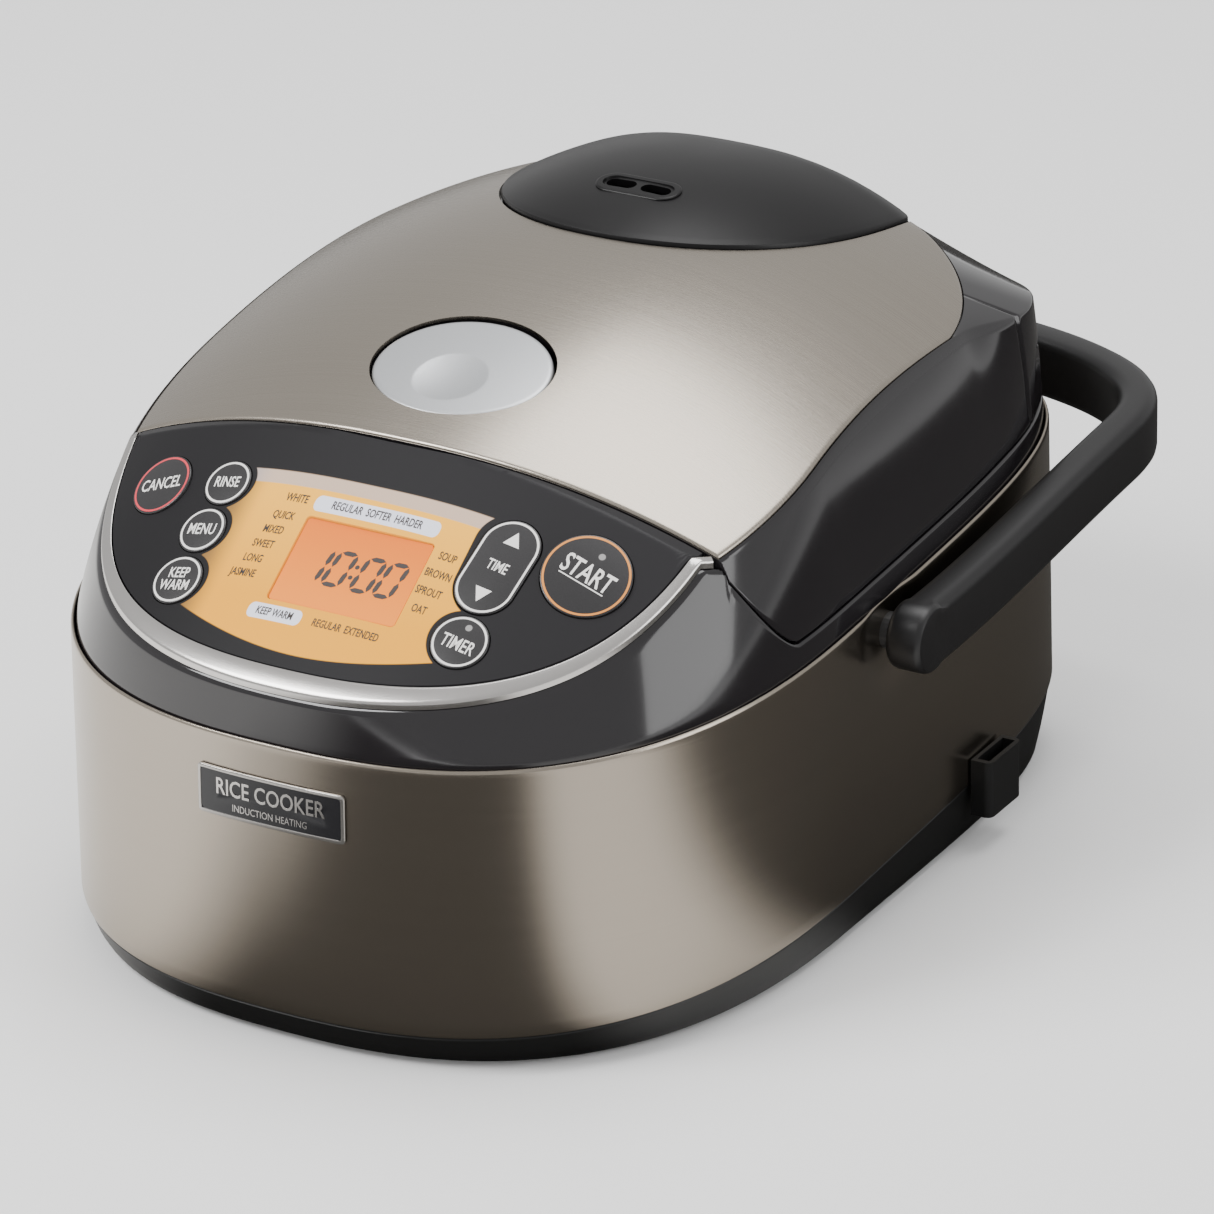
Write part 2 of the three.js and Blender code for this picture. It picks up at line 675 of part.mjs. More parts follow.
// The panel's lower edge for a column at x, margin inside the trim.
function panelLowY(x, margin) {
  let outside = -160;
  let inside = lidFrontY(x) - 1;
  for (let step = 0; step < 40; step += 1) {
    const y = (outside + inside) / 2;
    if (wallValue(x, y, panelHeight(x, y), trimWidth(x) + margin) < 1) inside = y;
    else outside = y;
  }
  return inside;
}

const PANEL_LID_GAP = 0.6;

function panelSheet(halfLength, lowMargin, highY, over, under, acrossSteps, alongSteps) {
  return patchPlate((u, v, side) => {
    const x = mix(-halfLength, halfLength, u);
    const y = mix(panelLowY(x, lowMargin), highY(x), v);
    return point(x, y, panelHeight(x, y) + (side ? over : under));
  }, acrossSteps, alongSteps);
}

const panelBlank = panelSheet(
  PANEL_HALF_LENGTH, 0.6, (x) => lidFrontY(x) - PANEL_LID_GAP, 0, -PANEL_THICKNESS, 18, 4,
);

// Window in the panel, and the display in the window.
const WINDOW_HALF_WIDTH = 40;
const WINDOW_TOP_Y = -77.5;
const WINDOW_MARGIN = 3.2;
const LCD_CENTRE_X = 5.2;
const LCD_TOP_Y = -90;
const LCD_BOTTOM_Y = -116;
const LCD_HALF_WIDTH = 23.5;

function upright(halfWidth, centreX, lowY, highY, radius) {
  const shape = new THREE.Shape();
  shape.moveTo(centreX - halfWidth + radius, lowY(-1));
  shape.lineTo(centreX + halfWidth - radius, lowY(1));
  shape.quadraticCurveTo(centreX + halfWidth, lowY(1), centreX + halfWidth, lowY(1) + radius);
  shape.lineTo(centreX + halfWidth, highY - radius);
  shape.quadraticCurveTo(centreX + halfWidth, highY, centreX + halfWidth - radius, highY);
  shape.lineTo(centreX - halfWidth + radius, highY);
  shape.quadraticCurveTo(centreX - halfWidth, highY, centreX - halfWidth, highY - radius);
  shape.lineTo(centreX - halfWidth, lowY(-1) + radius);
  shape.quadraticCurveTo(centreX - halfWidth, lowY(-1), centreX - halfWidth + radius, lowY(-1));
  return extruded(shape, 200);
}

// Upright prism whose lower edge follows the trim.
function windowPrism(grow) {
  const shape = new THREE.Shape();
  const half = WINDOW_HALF_WIDTH + grow;
  const steps = 12;
  shape.moveTo(-half, WINDOW_TOP_Y + grow);
  for (let k = 0; k <= steps; k += 1) {
    const x = mix(-half, half, k / steps);
    shape.lineTo(x, panelLowY(x, WINDOW_MARGIN - grow));
  }
  shape.lineTo(half, WINDOW_TOP_Y + grow);
  shape.closePath();
  return extruded(shape, 200);
}

const lcdPrism = upright(LCD_HALF_WIDTH + TOUCH_GAP, LCD_CENTRE_X, () => LCD_BOTTOM_Y - TOUCH_GAP,
  LCD_TOP_Y + TOUCH_GAP, 1.5);

// ---------------------------------------------------------------- keys

const KEY_GAP = 0.3;
const KEY_PROUD = 0.7;
const KEY_SKIRT = 3;
const keySpots = {
  cancel_key: { x: -78.5, y: -82, radius: 11.2, colour: 0x201f22 },
  rinse_key: { x: -52.6, y: -83, radius: 8.4, colour: 0x201f22 },
  menu_key: { x: -52.9, y: -98, radius: 8.4, colour: 0x201f22 },
  keep_warm_key: { x: -52.6, y: -113.7, radius: 9, colour: 0x201f22 },
  timer_key: { x: 51.2, y: -113.4, radius: 9.4, colour: 0x201f22 },
  start_key: { x: 78, y: -81.5, radius: 14.5, colour: 0x201f22 },
};
const ROCKER = { x: 51.4, y: -90.3, radius: 10, reach: 7.5 };

// A frame standing on the panel: z along the surface normal, x across.
function panelFrame(x, y) {
  const step = 0.5;
  const slopeX = (panelHeight(x + step, y) - panelHeight(x - step, y)) / (2 * step);
  const slopeY = (panelHeight(x, y + step) - panelHeight(x, y - step)) / (2 * step);
  const normal = point(-slopeX, -slopeY, 1).normalize();
  const across = point(1, 0, slopeX).normalize();
  const up = normal.clone().cross(across);
  return new THREE.Matrix4().makeBasis(across, up, normal).setPosition(x, y, panelHeight(x, y));
}

function keySolid(spot, grow, low, high) {
  const bevel = grow > 0 ? 0 : 0.4;
  const r = spot.radius + grow;
  const profile = [[0, low], [r, low], [r, high - bevel], [r - bevel, high], [0, high]];
  const clean = bevel ? profile : [[0, low], [r, low], [r, high], [0, high]];
  return turned(clean, 0, 0, 24).applyMatrix4(panelFrame(spot.x, spot.y));
}

function pillSolid(grow, low, high) {
  const r = ROCKER.radius + grow;
  const shape = new THREE.Shape();
  shape.absarc(0, ROCKER.reach, r, 0, Math.PI, false);
  shape.absarc(0, -ROCKER.reach, r, Math.PI, 2 * Math.PI, false);
  shape.closePath();
  return extruded(shape, high - low).translate(0, 0, low).applyMatrix4(panelFrame(ROCKER.x, ROCKER.y));
}

const keyHoles = Object.values(keySpots).map((spot) => keySolid(spot, KEY_GAP, -8, 8));
keyHoles.push(pillSolid(KEY_GAP + 0.1, -8, 8));

addPart('control_panel', cut(panelBlank, windowPrism(TOUCH_GAP), ...keyHoles), 0x2a292c, 0.45, 0);

const windowBlank = panelSheet(60, 0.6, () => WINDOW_TOP_Y + 4, 0, -PANEL_THICKNESS + 1, 12, 3);
addPart('menu_window', cut(common(windowBlank, windowPrism(0)), lcdPrism, ...keyHoles), 0xf2a93a, 0.3, 0);

for (const [name, spot] of Object.entries(keySpots)) {
  addPart(name, keySolid(spot, 0, -KEY_SKIRT, KEY_PROUD), spot.colour, 0.35, 0);
}
addPart('time_rocker', pillSolid(0, -KEY_SKIRT, KEY_PROUD), 0x201f22, 0.35, 0);

// Display: a glass face in the window on a module behind it.
const lcdMiddleY = (LCD_TOP_Y + LCD_BOTTOM_Y) / 2;
const lcdFrame = panelFrame(LCD_CENTRE_X, lcdMiddleY);
const panelTilt = Math.atan(PANEL_SLOPE);
const lcdHalfLength = (LCD_TOP_Y - LCD_BOTTOM_Y) / 2 / Math.cos(panelTilt);
const lcdGlass = box(-LCD_HALF_WIDTH, LCD_HALF_WIDTH, -lcdHalfLength + 1.4, lcdHalfLength - 1.4, -3, -0.7);
const lcdBody = box(-LCD_HALF_WIDTH - 3, LCD_HALF_WIDTH + 3, -lcdHalfLength - 3, lcdHalfLength + 3, -8, -3);
addPart('lcd_module', join(lcdGlass, lcdBody).applyMatrix4(lcdFrame), 0xf08a2c, 0.3, 0);

const BOARD_DEPTH = 9.5;
addPart(
  'control_board',
  box(-60, 60, -16, 12, -BOARD_DEPTH - 1.6, -BOARD_DEPTH).applyMatrix4(panelFrame(0, lcdMiddleY)),
  0x2d5b34, 0.6, 0,
);

// ---------------------------------------------------------------- chrome trim

const TRIM_PROUD = 0.4;
const TRIM_END_Y = -59;

function trimSection(angle) {
  const outer = wallPoint(angle, panelHeight, 0);
  const width = trimWidth(outer.x);
  const inner = wallPoint(angle, panelHeight, width);
  const lift = (p, dz) => point(p.x, p.y, p.z + dz);
  return [
    lift(outer, -PANEL_THICKNESS + TOUCH_GAP),
    lift(outer, TRIM_PROUD - 0.3),
    lift(outer.clone().lerp(inner, 0.2), TRIM_PROUD),
    lift(inner, TRIM_PROUD),
    lift(inner, -PANEL_THICKNESS + TOUCH_GAP),
  ];
}

const trimEnd = Math.acos(
  (TRIM_END_Y - LOOP_Y) / -Math.hypot(TRIM_END_Y - LOOP_Y, TRIM_HALF_LENGTH / LOOP_STRETCH),
);
const trimSteps = 32;
addPart('chrome_trim', skinBar(Array.from({ length: trimSteps + 1 }, (_, k) => (
  trimSection(-Math.PI / 2 + mix(-trimEnd, trimEnd, k / trimSteps))
))), ...BRIGHT);

// ---------------------------------------------------------------- rear housing and hinge

function wallVolume(extraInset, lowRise, highRise, levels) {
  const rings = Array.from({ length: levels + 1 }, (_, k) => {
    const rise = mix(lowRise, highRise, k / levels);
    return evenAngles.map((angle) => wallPoint(angle, (x, y) => shellTop(y) + rise, extraInset));
  });
  const middle = (rise) => point(0, LOOP_Y, shellTop(LOOP_Y) + rise);
  return skinBetweenPoles(middle(lowRise), rings, middle(highRise));
}

// Everything between two heights that depend on y alone, for y from y0 to y1.
function yLayer(lowAt, highAt, y0, y1, steps) {
  const shape = new THREE.Shape();
  shape.moveTo(y0, lowAt(y0));
  for (let k = 1; k <= steps; k += 1) {
    const y = mix(y0, y1, k / steps);
    shape.lineTo(y, lowAt(y));
  }
  for (let k = steps; k >= 0; k -= 1) {
    const y = mix(y0, y1, k / steps);
    shape.lineTo(y, highAt(y));
  }
  shape.closePath();
  const swap = new THREE.Matrix4().makeBasis(point(0, 1, 0), point(0, 0, 1), point(1, 0, 0));
  return extruded(shape, 400).translate(0, 0, -200).applyMatrix4(swap);
}

const housingFloor = (y) => shellTop(y) + SEAM_BAND + TOUCH_GAP;
const housingTop = (y) => {
  const lidEdge = seamHeight(Math.min(y - REAR_RAMP_GAP, REAR_SEAM_Y));
  return Math.max(lidEdge - LID_SEAM_GAP, housingFloor(y) + 1);
};
const housingBlock = common(
  wallVolume(0, -6, 60, 5),
  yLayer(housingFloor, housingTop, REAR_RAMP_Y + 2.5, REAR_DEPTH + 14.5, 24),
);
const housingHollow = common(
  wallVolume(BAND_WALL, -6, 60, 4),
  yLayer((y) => housingFloor(y) - 5, (y) => housingTop(y) - 3, REAR_RAMP_Y + 10, HINGE_Y - TROUGH_RADIUS - 3, 4),
);
const trough = crossPin(TROUGH_RADIUS, -200, 200, HINGE_Y, HINGE_Z, 40);
const troughBack = box(-200, 200, HINGE_Y, REAR_DEPTH + 14.5, HINGE_Z - LID_REAR_SWEEP, HINGE_Z + 20);
const pinBrackets = [-1, 1].flatMap((side) => {
  const inner = side * (BARREL_HALF_LENGTH + 2);
  const outer = inner + side * BRACKET_WIDTH;
  const x0 = Math.min(inner, outer);
  const x1 = Math.max(inner, outer);
  return [
    crossPin(BRACKET_RADIUS, x0, x1, HINGE_Y, HINGE_Z),
    box(x0, x1, HINGE_Y - BRACKET_RADIUS + 1, HINGE_Y + BRACKET_RADIUS / 2, HINGE_Z - TROUGH_RADIUS - 1.5, HINGE_Z),
  ];
});
const housingMould = cut(housingBlock, housingHollow, trough, troughBack);
const pinBore = crossPin(HINGE_PIN_RADIUS + TOUCH_GAP, -100, 100, HINGE_Y, HINGE_Z);
addPart('rear_housing', cut(join(housingMould, ...pinBrackets), pinBore), ...GLOSS_BLACK);

const pinHalf = BARREL_HALF_LENGTH + 2 + BRACKET_WIDTH;
addPart('hinge_pin', crossPin(HINGE_PIN_RADIUS, -pinHalf, pinHalf, HINGE_Y, HINGE_Z, 20), ...BRIGHT);

function alongX(profile, steps) {
  const outline = profile.map(([radius, x]) => new THREE.Vector2(radius, x));
  return new THREE.LatheGeometry(outline, steps).rotateZ(-Math.PI / 2).translate(0, HINGE_Y, HINGE_Z);
}

const barrelEnd = BARREL_HALF_LENGTH;
const barrelNeck = HINGE_PIN_RADIUS + TOUCH_GAP;
const hingeBarrel = alongX([
  [barrelNeck, -barrelEnd],
  [BARREL_RADIUS, -barrelEnd],
  [BARREL_RADIUS, barrelEnd],
  [barrelNeck, barrelEnd],
  [barrelNeck, barrelEnd - 12],
  [BARREL_BORE, barrelEnd - 12],
  [BARREL_BORE, -barrelEnd + 12],
  [barrelNeck, -barrelEnd + 12],
  [barrelNeck, -barrelEnd],
], 32);
const barrelWeb = box(
  -BARREL_HALF_LENGTH + 6, BARREL_HALF_LENGTH - 6, HINGE_Y - 6, HINGE_Y + 1, HINGE_Z + BARREL_BORE + 1, HINGE_Z + 13,
);
addPart('hinge_barrel', join(hingeBarrel, barrelWeb), ...MATT_BLACK);

const springCoil = coilSpring(0, 0, -20, 20, 3.7, 0.5, 5).rotateY(Math.PI / 2);
addPart('hinge_spring', springCoil.translate(0, HINGE_Y, HINGE_Z), ...BRIGHT);

// ---------------------------------------------------------------- lid

const LID_FRONT_GAP = 0.4;
const COVER_STEP = PLATE_THICKNESS + TOUCH_GAP;

function plateRear(x, y) {
  if (y < PLATE_REAR_CENTRE_Y) return true;
  return (Math.abs(x) / PLATE_REAR_HALF_WIDTH) ** PLATE_REAR_SQUARENESS
    + ((y - PLATE_REAR_CENTRE_Y) / PLATE_REAR_DEPTH) ** PLATE_REAR_SQUARENESS < 1;
}

function platePoint(angle, inset, drop, share = 1) {
  const inside = (px, py) => wallValue(px, py, domeHeight(px, py), inset) < 1
    && py > lidFrontY(px) + LID_FRONT_GAP + inset
    && plateRear(px * (1 + inset / PLATE_REAR_HALF_WIDTH), py + inset);
  const [x, y] = reach(angle, LOOP_Y, inside);
  const px = x * share;
  const py = mix(LOOP_Y, y, share);
  return point(px, py, domeHeight(px, py) - drop);
}

const lidBottomEdge = (x, y) => seamHeight(y) + LID_SEAM_GAP - TOUCH_GAP;

function coverWallRing(share, extraInset, frontGap, topDrop) {
  return loopAngles.map((angle) => {
    const low = lidPoint(angle, lidBottomEdge, extraInset, frontGap);
    const high = lidPoint(angle, (x, y) => domeHeight(x, y) - topDrop, extraInset, frontGap);
    if (share === 0) return low;
    if (share === 1) return high;
    const z = mix(low.z, high.z, share);
    return lidPoint(angle, () => z, extraInset, frontGap);
  });
}

const PLATE_RIM = 1;
const ring = (inset, drop, share) => loopAngles.map((angle) => platePoint(angle, inset, drop, share));

const coverShell = skinBetweenPoles(
  point(0, LOOP_Y, domeHeight(0, LOOP_Y) - COVER_STEP),
  [
    ring(PLATE_RIM, COVER_STEP, 0.4),
    ring(PLATE_RIM, COVER_STEP, 0.75),
    ring(PLATE_RIM, COVER_STEP, 1),
    ring(PLATE_RIM - TOUCH_GAP - 0.05, 0.1, 1),
    coverWallRing(1, 0, LID_FRONT_GAP, 0),
    coverWallRing(0.5, 0, LID_FRONT_GAP, 0),
    coverWallRing(0, 0, LID_FRONT_GAP, 0),
    coverWallRing(0, WALL, LID_FRONT_GAP + WALL, 0),
    coverWallRing(1, WALL + 1, LID_FRONT_GAP + WALL, COVER_STEP + WALL),
    ring(PLATE_RIM + WALL + 4, COVER_STEP + WALL, 1),
    ring(PLATE_RIM + WALL + 4, COVER_STEP + WALL, 0.6),
  ],
  point(0, LOOP_Y, domeHeight(0, LOOP_Y) - COVER_STEP - WALL),
);

// Button opening, square to the dome at the button.
const buttonSlope = DOME_SLOPE - 2 * DOME_CURVE * BUTTON_Y;
const buttonTilt = Math.atan(buttonSlope);

function buttonPrism(grow, low, high) {
  const shape = new THREE.Shape();
  shape.absellipse(0, 0, BUTTON_HALF_WIDTH + grow, BUTTON_HALF_LENGTH + grow, 0, 2 * Math.PI, false, 0);
  const prism = new THREE.ExtrudeGeometry(shape, { depth: high - low, bevelEnabled: false, curveSegments: 24 });
  return prism.translate(0, 0, low).rotateX(buttonTilt).translate(0, BUTTON_Y, domeHeight(0, BUTTON_Y));
}

const DUCT_Y = 95;
const DUCT_RADIUS = 9;
const buttonHole = buttonPrism(BUTTON_GAP, -30, 20);
const ductHole = disc(DUCT_RADIUS + 0.6, 0, DUCT_Y, 150, 230, 28);

// Vent cap outline: 1 on its edge.
function capRatio(x, y) {
  const front = y < CAP_CENTRE_Y;
  const power = front ? 2.2 : 4;
  const depth = front ? CAP_FRONT_REACH : CAP_REAR_REACH;
  return ((Math.abs(x) / CAP_HALF_WIDTH) ** power + (Math.abs(y - CAP_CENTRE_Y) / depth) ** power) ** (1 / power);
}

const CAP_AXIS_Y = CAP_CENTRE_Y - 26;

function capSpot(angle, grow, share) {
  const [x, y] = reach(angle, CAP_AXIS_Y, (px, py) => {
    const sx = px * (1 - grow / CAP_HALF_WIDTH);
    const sy = CAP_AXIS_Y + (py - CAP_AXIS_Y) * (1 - grow / 50);
    return capRatio(sx, sy) < 1;
  });
  return [x * share, mix(CAP_AXIS_Y, y, share)];
}

const capAngles = evenAngles;
const capRise = (x, y) => CAP_EDGE + CAP_CROWN * (1 - Math.min(1, capRatio(x, y)) ** 2.5);

function capRing(share, grow, heightAt) {
  return capAngles.map((angle) => {
    const [x, y] = capSpot(angle, grow, share);
    return point(x, y, heightAt(x, y));
  });
}

const capOver = (x, y) => domeHeight(x, y) + capRise(x, y);
const capUnder = (x, y) => domeHeight(x, y) - PLATE_THICKNESS;
const capPole = (heightAt, dz) => point(0, CAP_AXIS_Y, heightAt(0, CAP_AXIS_Y) + dz);

const capSeatZ = (x, y) => domeHeight(x, y) - COVER_STEP - TOUCH_GAP;
const capSeat = skinBetweenPoles(
  capPole(capSeatZ, 0),
  [
    capRing(0.85, 0, capSeatZ),
    capRing(1, CAP_LIFT_GAP, capSeatZ),
    capRing(1, CAP_LIFT_GAP, () => 240),
  ],
  point(0, CAP_AXIS_Y, 240),
);

const capPrism = skinBetweenPoles(
  point(0, CAP_AXIS_Y, 150),
  [capRing(1, CAP_LIFT_GAP, () => 150), capRing(1, CAP_LIFT_GAP, () => 240)],
  point(0, CAP_AXIS_Y, 240),
);

const plateBlank = skinBetweenPoles(
  point(0, LOOP_Y, domeHeight(0, LOOP_Y)),
  [
    ring(PLATE_RIM, 0, 0.4),
    ring(PLATE_RIM, 0, 0.75),
    ring(PLATE_RIM, 0, 1),
    ring(PLATE_RIM, PLATE_THICKNESS, 1),
    ring(PLATE_RIM, PLATE_THICKNESS, 0.75),
    ring(PLATE_RIM, PLATE_THICKNESS, 0.4),
  ],
  point(0, LOOP_Y, domeHeight(0, LOOP_Y) - PLATE_THICKNESS),
);
addPart('lid_top_plate', cut(plateBlank, capPrism, buttonHole), ...STEEL);

addPart('lid_cover', cut(coverShell, buttonHole, ductHole, capSeat), ...GLOSS_BLACK);

// The cap is a shell with two steam slots in an oval collar.
const SLOT_Y = 86.5;
const capShell = skinBetweenPoles(
  capPole(capOver, 0),
  [
    capRing(0.45, 0, capOver),
    capRing(0.8, 0, capOver),
    capRing(1, 0, capOver),
    capRing(1, 0, capUnder),
    capRing(0.96, 0, capUnder),
    capRing(0.93, 0, (x, y) => capOver(x, y) - CAP_WALL),
    capRing(0.6, 0, (x, y) => capOver(x, y) - CAP_WALL),
  ],
  capPole(capOver, -CAP_WALL),
);

function ovalShape(halfLength, halfWidth) {
  const shape = new THREE.Shape();
  shape.absarc(halfLength - halfWidth, 0, halfWidth, -Math.PI / 2, Math.PI / 2, false);
  shape.absarc(-halfLength + halfWidth, 0, halfWidth, Math.PI / 2, 1.5 * Math.PI, false);
  shape.closePath();
  return shape;
}

const slotZ = capOver(0, SLOT_Y);
const collar = extruded(ovalShape(15.5, 7), 4).translate(0, SLOT_Y, slotZ - 3);
const steamSlots = [-1, 1].map((side) => (
  extruded(ovalShape(5.2, 2.6), 20).translate(side * 6.6, SLOT_Y, slotZ - 12)
));
addPart('steam_vent_cap', cut(join(capShell, collar), ...steamSlots), 0x1d1d1f, 0.35, 0);

const trayCap = skinBetweenPoles(
  capPole(capUnder, TOUCH_GAP),
  [
    capRing(0.85, 0, (x, y) => capUnder(x, y) + TOUCH_GAP),
    capRing(0.85, 0, (x, y) => capUnder(x, y) + 1.7),
  ],
  capPole(capUnder, 1.7),
);
addPart('vent_tray', cut(trayCap, disc(DUCT_RADIUS - 2, 0, DUCT_Y, 150, 240, 20)), ...MATT_BLACK);

// Open button: a sunk oval with a thumb dish.
const buttonTop = patchPlate((u, v, side) => {
  const x = mix(-45, 45, u);
  const y = mix(BUTTON_Y - 45, BUTTON_Y + 45, v);
  return point(x, y, domeHeight(x, y) - BUTTON_SUNK - (side ? 0 : BUTTON_DEPTH));
}, 6, 6);
const DISH_RADIUS = 70;
const DISH_DEPTH = 1.3;
const thumbDish = new THREE.SphereGeometry(DISH_RADIUS, 48, 30).scale(1.25, 1, 1).translate(
  0, BUTTON_Y - 5, domeHeight(0, BUTTON_Y - 5) - BUTTON_SUNK + DISH_RADIUS - DISH_DEPTH,
);
addPart('open_button', cut(common(buttonPrism(0, -30, 20), buttonTop), thumbDish), 0xcfcfcf, 0.3, 0.9);

const buttonBottomZ = domeHeight(0, BUTTON_Y) - BUTTON_SUNK - BUTTON_DEPTH;
const FRAME_Z = 119;
const FRAME_THICKNESS = 2.5;
addPart(
  'button_spring',
  coilSpring(0, BUTTON_Y + 4, FRAME_Z + FRAME_THICKNESS + 1.2, buttonBottomZ - 4, 7, 0.7, 4),
  ...BRIGHT,
);

// Underside of the lid.
const FRAME_INSET = 7;
const FRAME_FRONT_GAP = 18;
const frameAngles = evenAngles;
const frameRing = (z) => frameAngles.map((angle) => {
  const inside = (px, py) => wallValue(px, py, FRAME_Z, FRAME_INSET) < 1
    && py > lidFrontY(px) + FRAME_FRONT_GAP && py < REAR_RAMP_Y + 2;
  const [x, y] = reach(angle, LOOP_Y, inside);
  return point(x, y, z);
});
const framePlate = skinBetweenPoles(
  point(0, LOOP_Y, FRAME_Z),
  [frameRing(FRAME_Z), frameRing(FRAME_Z + FRAME_THICKNESS)],
  point(0, LOOP_Y, FRAME_Z + FRAME_THICKNESS),
);
const frameBores = [disc(DUCT_RADIUS + 0.6, 0, DUCT_Y, 100, 140, 28)];
addPart('lid_frame', cut(framePlate, ...frameBores), 0x8f8f92, 0.4, 0);

const INNER_LID_RADIUS = PAN_RADIUS - INNER_LID_CLEARANCE;
const innerLidZ = 115.6;
addPart('inner_lid', cut(turned([
  [0, innerLidZ + 0.6],
  [INNER_LID_RADIUS - 20, innerLidZ + 0.6],
  [INNER_LID_RADIUS - 8, innerLidZ],
  [INNER_LID_RADIUS, innerLidZ],
  [INNER_LID_RADIUS, innerLidZ + 1.6],
  [INNER_LID_RADIUS - 7.5, innerLidZ + 1.6],
  [INNER_LID_RADIUS - 19.5, innerLidZ + 2.2],
  [0, innerLidZ + 2.2],
], 0, PAN_Y, 32), disc(5, 0, DUCT_Y, 100, 140, 16), disc(3, -30, DUCT_Y, 100, 140, 12)), ...BRIGHT);

addPart('pan_gasket', turnedRing(
  INNER_LID_RADIUS + TOUCH_GAP, PAN_RADIUS + PAN_FLANGE - 0.5, panRim + 1.5 + TOUCH_GAP, innerLidZ + 2.6, 0, PAN_Y, 32,
), 0xb9b9b4, 0.8, 0);

const coverUnderZ = (x, y) => domeHeight(x, y) - COVER_STEP;
addPart('steam_duct', turnedRing(
  DUCT_RADIUS - 2, DUCT_RADIUS, innerLidZ + 2.2 + TOUCH_GAP, coverUnderZ(0, DUCT_Y) - 1, 0, DUCT_Y, 28,
), 0x9a9a96, 0.7, 0);

addPart('pressure_valve', turned([
  [0, innerLidZ + 2.6],
  [DUCT_RADIUS - 3, innerLidZ + 2.6],
  [DUCT_RADIUS - 3, innerLidZ + 7],
  [4, innerLidZ + 11],
  [0, innerLidZ + 11],
], 0, DUCT_Y, 24), ...BRIGHT);

const solenoidZ = FRAME_Z + FRAME_THICKNESS + TOUCH_GAP;
addPart('valve_solenoid', box(14, 36, DUCT_Y - 12, DUCT_Y + 12, solenoidZ, solenoidZ + 20), ...DARK_METAL);
addPart('safety_valve', disc(7, -30, DUCT_Y, solenoidZ, solenoidZ + 14, 20), 0xa33a2e, 0.6, 0);

// Latch: a hook under the button and a strike on the body.
const HOOK_Y = -54;
const hookSide = new THREE.Shape();
hookSide.moveTo(HOOK_Y, innerLidZ + 0.6);
hookSide.lineTo(HOOK_Y + 3, innerLidZ + 0.6);
hookSide.lineTo(HOOK_Y + 3, 144);
hookSide.lineTo(HOOK_Y + 22, 150);
hookSide.lineTo(HOOK_Y + 22, 153);
hookSide.lineTo(HOOK_Y, 147);
hookSide.lineTo(HOOK_Y, innerLidZ + 4);
hookSide.lineTo(HOOK_Y - 3.5, innerLidZ + 3.2);
hookSide.lineTo(HOOK_Y - 3.5, innerLidZ + 2);
hookSide.closePath();
const sideways = new THREE.Matrix4().makeBasis(point(0, 1, 0), point(0, 0, 1), point(1, 0, 0));
addPart('latch_hook', extruded(hookSide, 14).translate(0, 0, -7).applyMatrix4(sideways), ...BRIGHT);

const strikeBack = lidFrontY(0) - 1 + TOUCH_GAP;
addPart('latch_catch', join(
  box(-9, 9, strikeBack, strikeBack + 1.6, DECK_Z + TOUCH_GAP, innerLidZ + 10),
  box(-9, 9, strikeBack + 1, strikeBack + 3, innerLidZ + 6, innerLidZ + 10),
), ...BRIGHT);

// ---------------------------------------------------------------- handle

const handlePlane = HALF_WIDTH + HANDLE_CLEARANCE + HANDLE_THICKNESS / 2;
const handleBack = HANDLE_PIVOT_Y + HANDLE_REACH;

// Centre line of one half, from the pivot to the middle of the bar.
function handleTrack(share) {
  const straight = handleBack - HANDLE_CORNER - HANDLE_PIVOT_Y;
  const armShare = 0.4;
  let x = handlePlane;
  let y = HANDLE_PIVOT_Y + straight * (share / armShare);
  if (share > armShare) {
    const turn = ((share - armShare) / (1 - armShare)) * (Math.PI / 2);
    const power = 2 / 2.6;
    x = handlePlane * Math.cos(turn) ** power;
    y = handleBack - HANDLE_CORNER + HANDLE_CORNER * Math.sin(turn) ** power;
  }
  if (share === 1) x = 0;
  const rise = HANDLE_RISE * smooth((y - HANDLE_PIVOT_Y) / (HANDLE_REACH * 0.9));
  return point(x, y, HANDLE_PIVOT_Z + rise);
}

const HANDLE_HALF_STEPS = 14;
const handlePoints = [];
for (let k = -HANDLE_HALF_STEPS; k <= HANDLE_HALF_STEPS; k += 1) {
  const spot = handleTrack(1 - Math.abs(k) / HANDLE_HALF_STEPS);
  if (k < 0) spot.x = -spot.x;
  handlePoints.push(spot);
}

function handleSection(k) {
  const here = handlePoints[k];
  const before = handlePoints[Math.max(0, k - 1)];
  const after = handlePoints[Math.min(handlePoints.length - 1, k + 1)];
  const along = after.clone().sub(before).normalize();
  const up = point(0, 0, 1).addScaledVector(along, -along.z).normalize();
  const out = along.clone().cross(up);
  const w = HANDLE_THICKNESS / 2;
  const h = HANDLE_HEIGHT / 2;
  const bevel = 3.5;
  const corners = [
    [-w, -h + bevel], [-w, h - bevel], [-w + bevel, h], [w - bevel, h],
    [w, h - bevel], [w, -h + bevel], [w - bevel, -h], [-w + bevel, -h],
  ];
  return corners.map(([a, b]) => here.clone().addScaledVector(out, a).addScaledVector(up, b));
}

const handleEnds = [-1, 1].map((side) => {
  const x0 = side * handlePlane - HANDLE_THICKNESS / 2;
  return crossPin(HANDLE_HEIGHT / 2, x0, x0 + HANDLE_THICKNESS, HANDLE_PIVOT_Y, HANDLE_PIVOT_Z, 28);
});
const pivotSockets = [-1, 1].map((side) => {
  const x0 = side * handlePlane;
  const x1 = side * (handlePlane - HANDLE_THICKNESS);
  return crossPin(PIVOT_RADIUS + TOUCH_GAP, Math.min(x0, x1), Math.max(x0, x1), HANDLE_PIVOT_Y, HANDLE_PIVOT_Z);
});
const handleBar = skinBar(handlePoints.map((_, k) => handleSection(k)));
addPart('handle', cut(join(handleBar, ...handleEnds), ...pivotSockets), ...MATT_BLACK);

